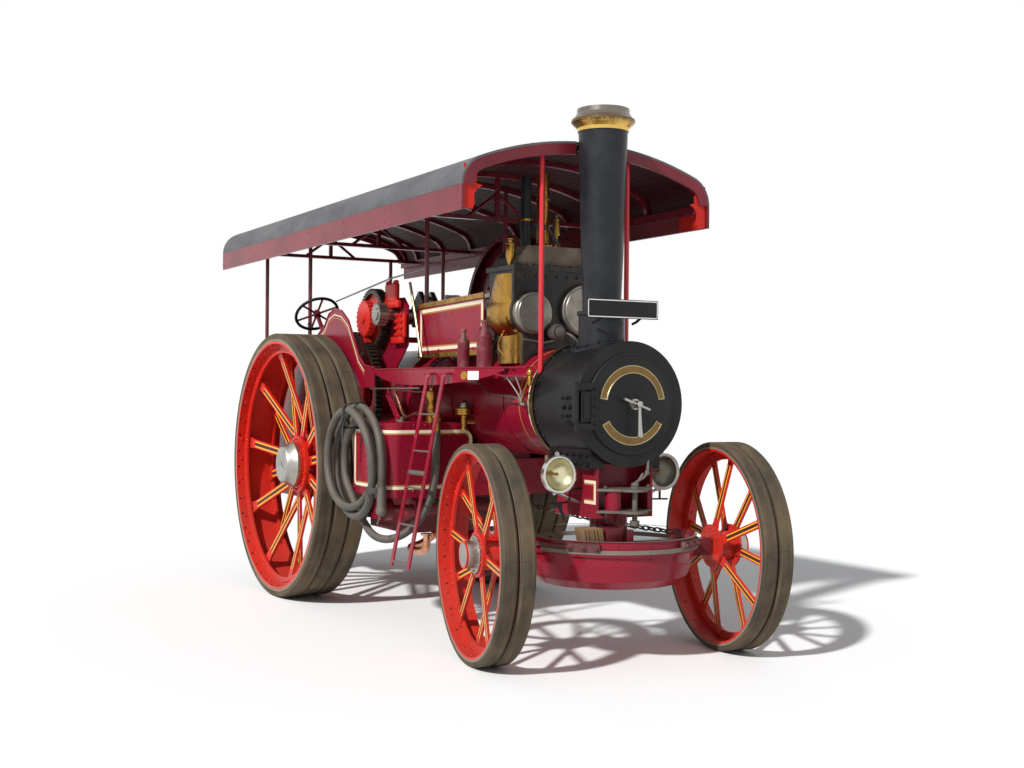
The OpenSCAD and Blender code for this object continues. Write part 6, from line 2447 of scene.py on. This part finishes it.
@dataclass
class Wheel:
    """Rivets, lining, cap and tyre edges of one wheel, about its own centre, +Y outward."""

    name: str
    body: Body
    place: Matrix
    radius: float
    width: float
    rubber: float
    stems: tuple[float, ...]
    stem_in: float
    spokes: tuple[tuple[float, ...], ...]
    spoke_w: float
    spoke_t: float
    hub_r: float
    cap_profile: tuple[tuple[float, float], ...]
    nuts: tuple[float, float, int]
    rings: int
    driving: bool
    gap: float = 17.0

    def build(self) -> None:
        """Adds every piece."""
        self.lining()
        self.rivets()
        self.cap()
        self.tyre_edges()

    def add(self, label: str, pieces: Union[bpy.types.Object, Sequence[bpy.types.Object]],
            look: Look, slot: Slot = Slot.VERMILION) -> None:
        """Hands in a piece that turns with the wheel.

        Args:
            label: the piece's name after the wheel's.
            pieces: what it is made of.
            look: its finish.
            slot: passed on to Bench.hand_in, which does not use it.
        """
        Bench.hand_in(f"{self.name}_{label}", pieces, look, slot, self.body, self.place)

    def spoke_places(self) -> Iterable[tuple[Matrix, float]]:
        """Each spoke's frame, X along it and Y out of its face, with its length.

        Returns:
            The places with the lengths.
        """
        for r0, y0, r1, y1, first, step, count, *_ in self.spokes:
            lean = atan2(y1 - y0, r1 - r0)
            reach = hypot(r1 - r0, y1 - y0)
            for i in range(count):
                # The source's turn about Y is the same way round as Blender's
                yield (Matrix.Rotation(radians(first + step * i), 4, "Y")
                       @ Matrix.Translation((r0, y0, 0)) @ Matrix.Rotation(lean, 4, "Z")), reach

    def lining(self) -> None:
        """A dark band between two golden lines on both faces of each spoke."""
        quads = ((0, 1, 3, 2), (4, 6, 7, 5), (0, 4, 5, 1), (2, 3, 7, 6), (0, 2, 6, 4),
                 (1, 5, 7, 3))
        for label, look, wide, offsets in (("dark_lines", Look.DARK_LINE, 0.38, (0.0,)),
                                           ("gold_lines", Look.SPOKE_LINE, 0.15, (0.27, -0.27))):
            verts, faces = [], []
            w = wide * self.spoke_w
            for place, reach in self.spoke_places():
                for face, offset in ((f, o) for f in (1.0, -1.0) for o in offsets):
                    y, z, base = face * self.spoke_t / 2, offset * self.spoke_w, len(verts)
                    verts += [place @ Vector((share * reach, y + face * lift, z + side * w / 2))
                              for lift in (-0.5, 0.9) for share in (0.15, 0.86)
                              for side in (-1, 1)]
                    faces += [tuple(base + i for i in quad) for quad in quads]
            self.add(label, Bench.shell(label, verts, faces), look)

    def rivets(self) -> None:
        """Rivets along the stems at each spoke, round the rim and round the hub's flanges, and
        black heads round the rim as painted shade of its holes.
        """
        places = []
        half, rim, big = self.width / 2, self.radius - self.rubber, self.driving
        spread = (-0.056, -0.019, 0.019, 0.056) if big else (-0.07, 0.0, 0.07)
        for r0, y0, r1, y1, first, step, count, flange, out_way in self.spokes:
            stem = min(self.stems, key=lambda s: abs(s - y1))
            for i in range(count):
                centre = radians(first + step * i)
                for row, shift in ((0.0, 0.0), (1.0, 0.012)) if not big else ((0.3, 0.0),):
                    for d in spread:
                        a = centre + d + shift
                        r = self.stem_in + 26 + row * 20
                        for out in (1.0, -1.0):
                            places.append(self.spot(a, r, stem + out * 8, (0, out, 0)))
                for d in (-0.14, 0.14) if big else (-0.2, 0.2):
                    places.append(self.spot(centre + d, self.hub_r - 24, flange, (0, out_way, 0)))
        inner = rim - (20 if big else 14)
        count = 36 if big else 24
        for i in range(count):
            a = 2 * pi * i / count
            for y in (half - 38, -half + 38):
                spoke = Vector((cos(a), 0, -sin(a)))
                places.append(self.spot(a, inner, y, -spoke))
        r = 12.0 if big else 9.5
        self.add("rivets", Bench.stamp(rivet(r, 0.8 * r, 8), places), Look.VERMILION)
        # Black heads stand for the rim's holes: their black is painted shade.
        count, depth = (44, half - 19) if big else (22, half - 44)
        heads = [self.spot(a, inner + (0 if big else 0.5), depth, (-cos(a), 0, sin(a)))
                 for a in (2 * pi * (i + 0.5) / count for i in range(count))]
        self.add("rim_hole_shade_marks", Bench.stamp(rivet(r * 0.8, 3.0, 10), heads), Look.BLACK)

    @staticmethod
    def spot(a: float, r: float, y: float, out: Point) -> Matrix:
        """A place at an angle and radius of the wheel."""
        return facing((r * cos(a), y, -r * sin(a)), out)

    def cap(self) -> None:
        """The polished cap, slotted, with its ring of nuts."""
        top = self.cap_profile[-1][1]
        cap = Bench.turned(self.cap_profile, axis=(0, 1, 0), steps=64)
        self.add("cap", cap, Look.STEEL, Slot.STEEL)
        if self.driving:
            slots = [Bench.block((70, 3, 7), (20, top - 0.6, -8), (0, 0.5, 0)),
                     Bench.block((38, 3, 6), (10, top - 0.5, 14), (0, 2.07, 0))]
            self.add("cap_slots", slots, Look.OILY, Slot.OILY)
        r, y, count = self.nuts
        nuts = [self.spot(2 * pi * (i + 0.5) / count, r, y, (0, 1, 0)) for i in range(count)]
        size, look = (12.0, Look.VERMILION) if self.driving else (7.0, Look.STEEL)
        self.add("nuts", Bench.stamp(hex_bolt(size, 0.9 * size, 5), nuts), look)

    def tyre_edges(self) -> None:
        """The pale dusty edges beside the rim and in the gaps between the rings."""
        half, rim = self.width / 2, self.radius - self.rubber
        bands = []
        for side in (1.0, -1.0):
            bands.append(Bench.turned(
                [(rim + 0.5, 0), (rim + 0.5, 1.3), (rim + 0.27 * self.rubber, 1.3),
                 (rim + 0.31 * self.rubber, 0)], at=(0, side * (half - 1), 0),
                axis=(0, side, 0), steps=96))
        ring_w = (self.width - (self.rings - 1) * self.gap) / self.rings
        for i in range(1, self.rings):
            y = -half + i * (ring_w + self.gap) - self.gap
            bands.append(Bench.turned([(self.radius - 22, 0), (self.radius - 12, 0),
                                       (self.radius - 10, 2.2), (self.radius - 22, 2.2)],
                                      at=(0, y - 0.5, 0), axis=(0, 1, 0), steps=96))
        self.add("tyre_edges", bands, Look.EDGE, Slot.RUBBER)


def wheels() -> list[Wheel]:
    """The four wheels with their sizes.

    Returns:
        The wheels.
    """
    found = []
    rear_spokes = ((150, -140, 965, 102.4, 9, 36, 10, -174, -1),
                   (150, -36, 965, -102.4, 27, 36, 10, -2, 1))
    front_spokes = ((105, 20, 605, 29, 8, 60, 6, 43, 1), (105, -90, 605, 3, 38, 60, 6, -113, -1))
    rear_cap = ((182.6, 22), (183.6, 24), (183.6, 48), (181, 51), (173.5, 67), (151.5, 97),
                (146.4, 119), (140, 125.2), (60, 125.6), (0, 125.6))
    front_cap = ((115.4, 42.6), (116, 44), (116, 56), (114, 57.8), (85.2, 57.8), (85.2, 112),
                 (81, 122), (74, 127.6), (0, 127.9))
    for side, sign in (("right", -1.0), ("left", 1.0)):
        mirror = Matrix.Scale(sign, 4, (0, 1, 0)) if sign < 0 else Matrix.Identity(4)
        found.append(Wheel(
            f"rear_{side}", Body[f"REAR_{side.upper()}"],
            ENGINE @ Matrix.Translation((0, sign * REAR_MID, REAR_RADIUS)) @ mirror,
            REAR_RADIUS, 388, 62, (116.4, -116.4), 912, rear_spokes, 75, 19, 230, rear_cap,
            (206, -2, 10), 3, True))
        found.append(Wheel(
            f"front_{side}", Body[f"FRONT_{side.upper()}"],
            CARRIAGE @ Matrix.Translation((0, sign * FRONT_MID, FRONT_RADIUS)) @ mirror,
            FRONT_RADIUS, 206, 45, (16.0,), 565, front_spokes, 52, 15, 140, front_cap,
            (101, 57.6, 6), 2, False))
    return found


def main() -> None:
    """Builds the scene in order."""
    Studio().build()
    SuctionHose().build()
    Livery().build()
    BoilerDress().build()
    SmokeboxDress().build()
    TankDress().build()
    PerchDress().build()
    ForeDress().build()
    LampDress().build()
    CylinderDress().build()
    MotionDress().build()
    BoardDress().build()
    LadderDress().build()
    CanopyDress().build()
    TenderDress().build()
    TrimDress().build()
    for wheel in wheels():
        wheel.build()


if __name__ == "__main__":
    logging.basicConfig(level=logging.INFO, format="%(message)s")
    main()
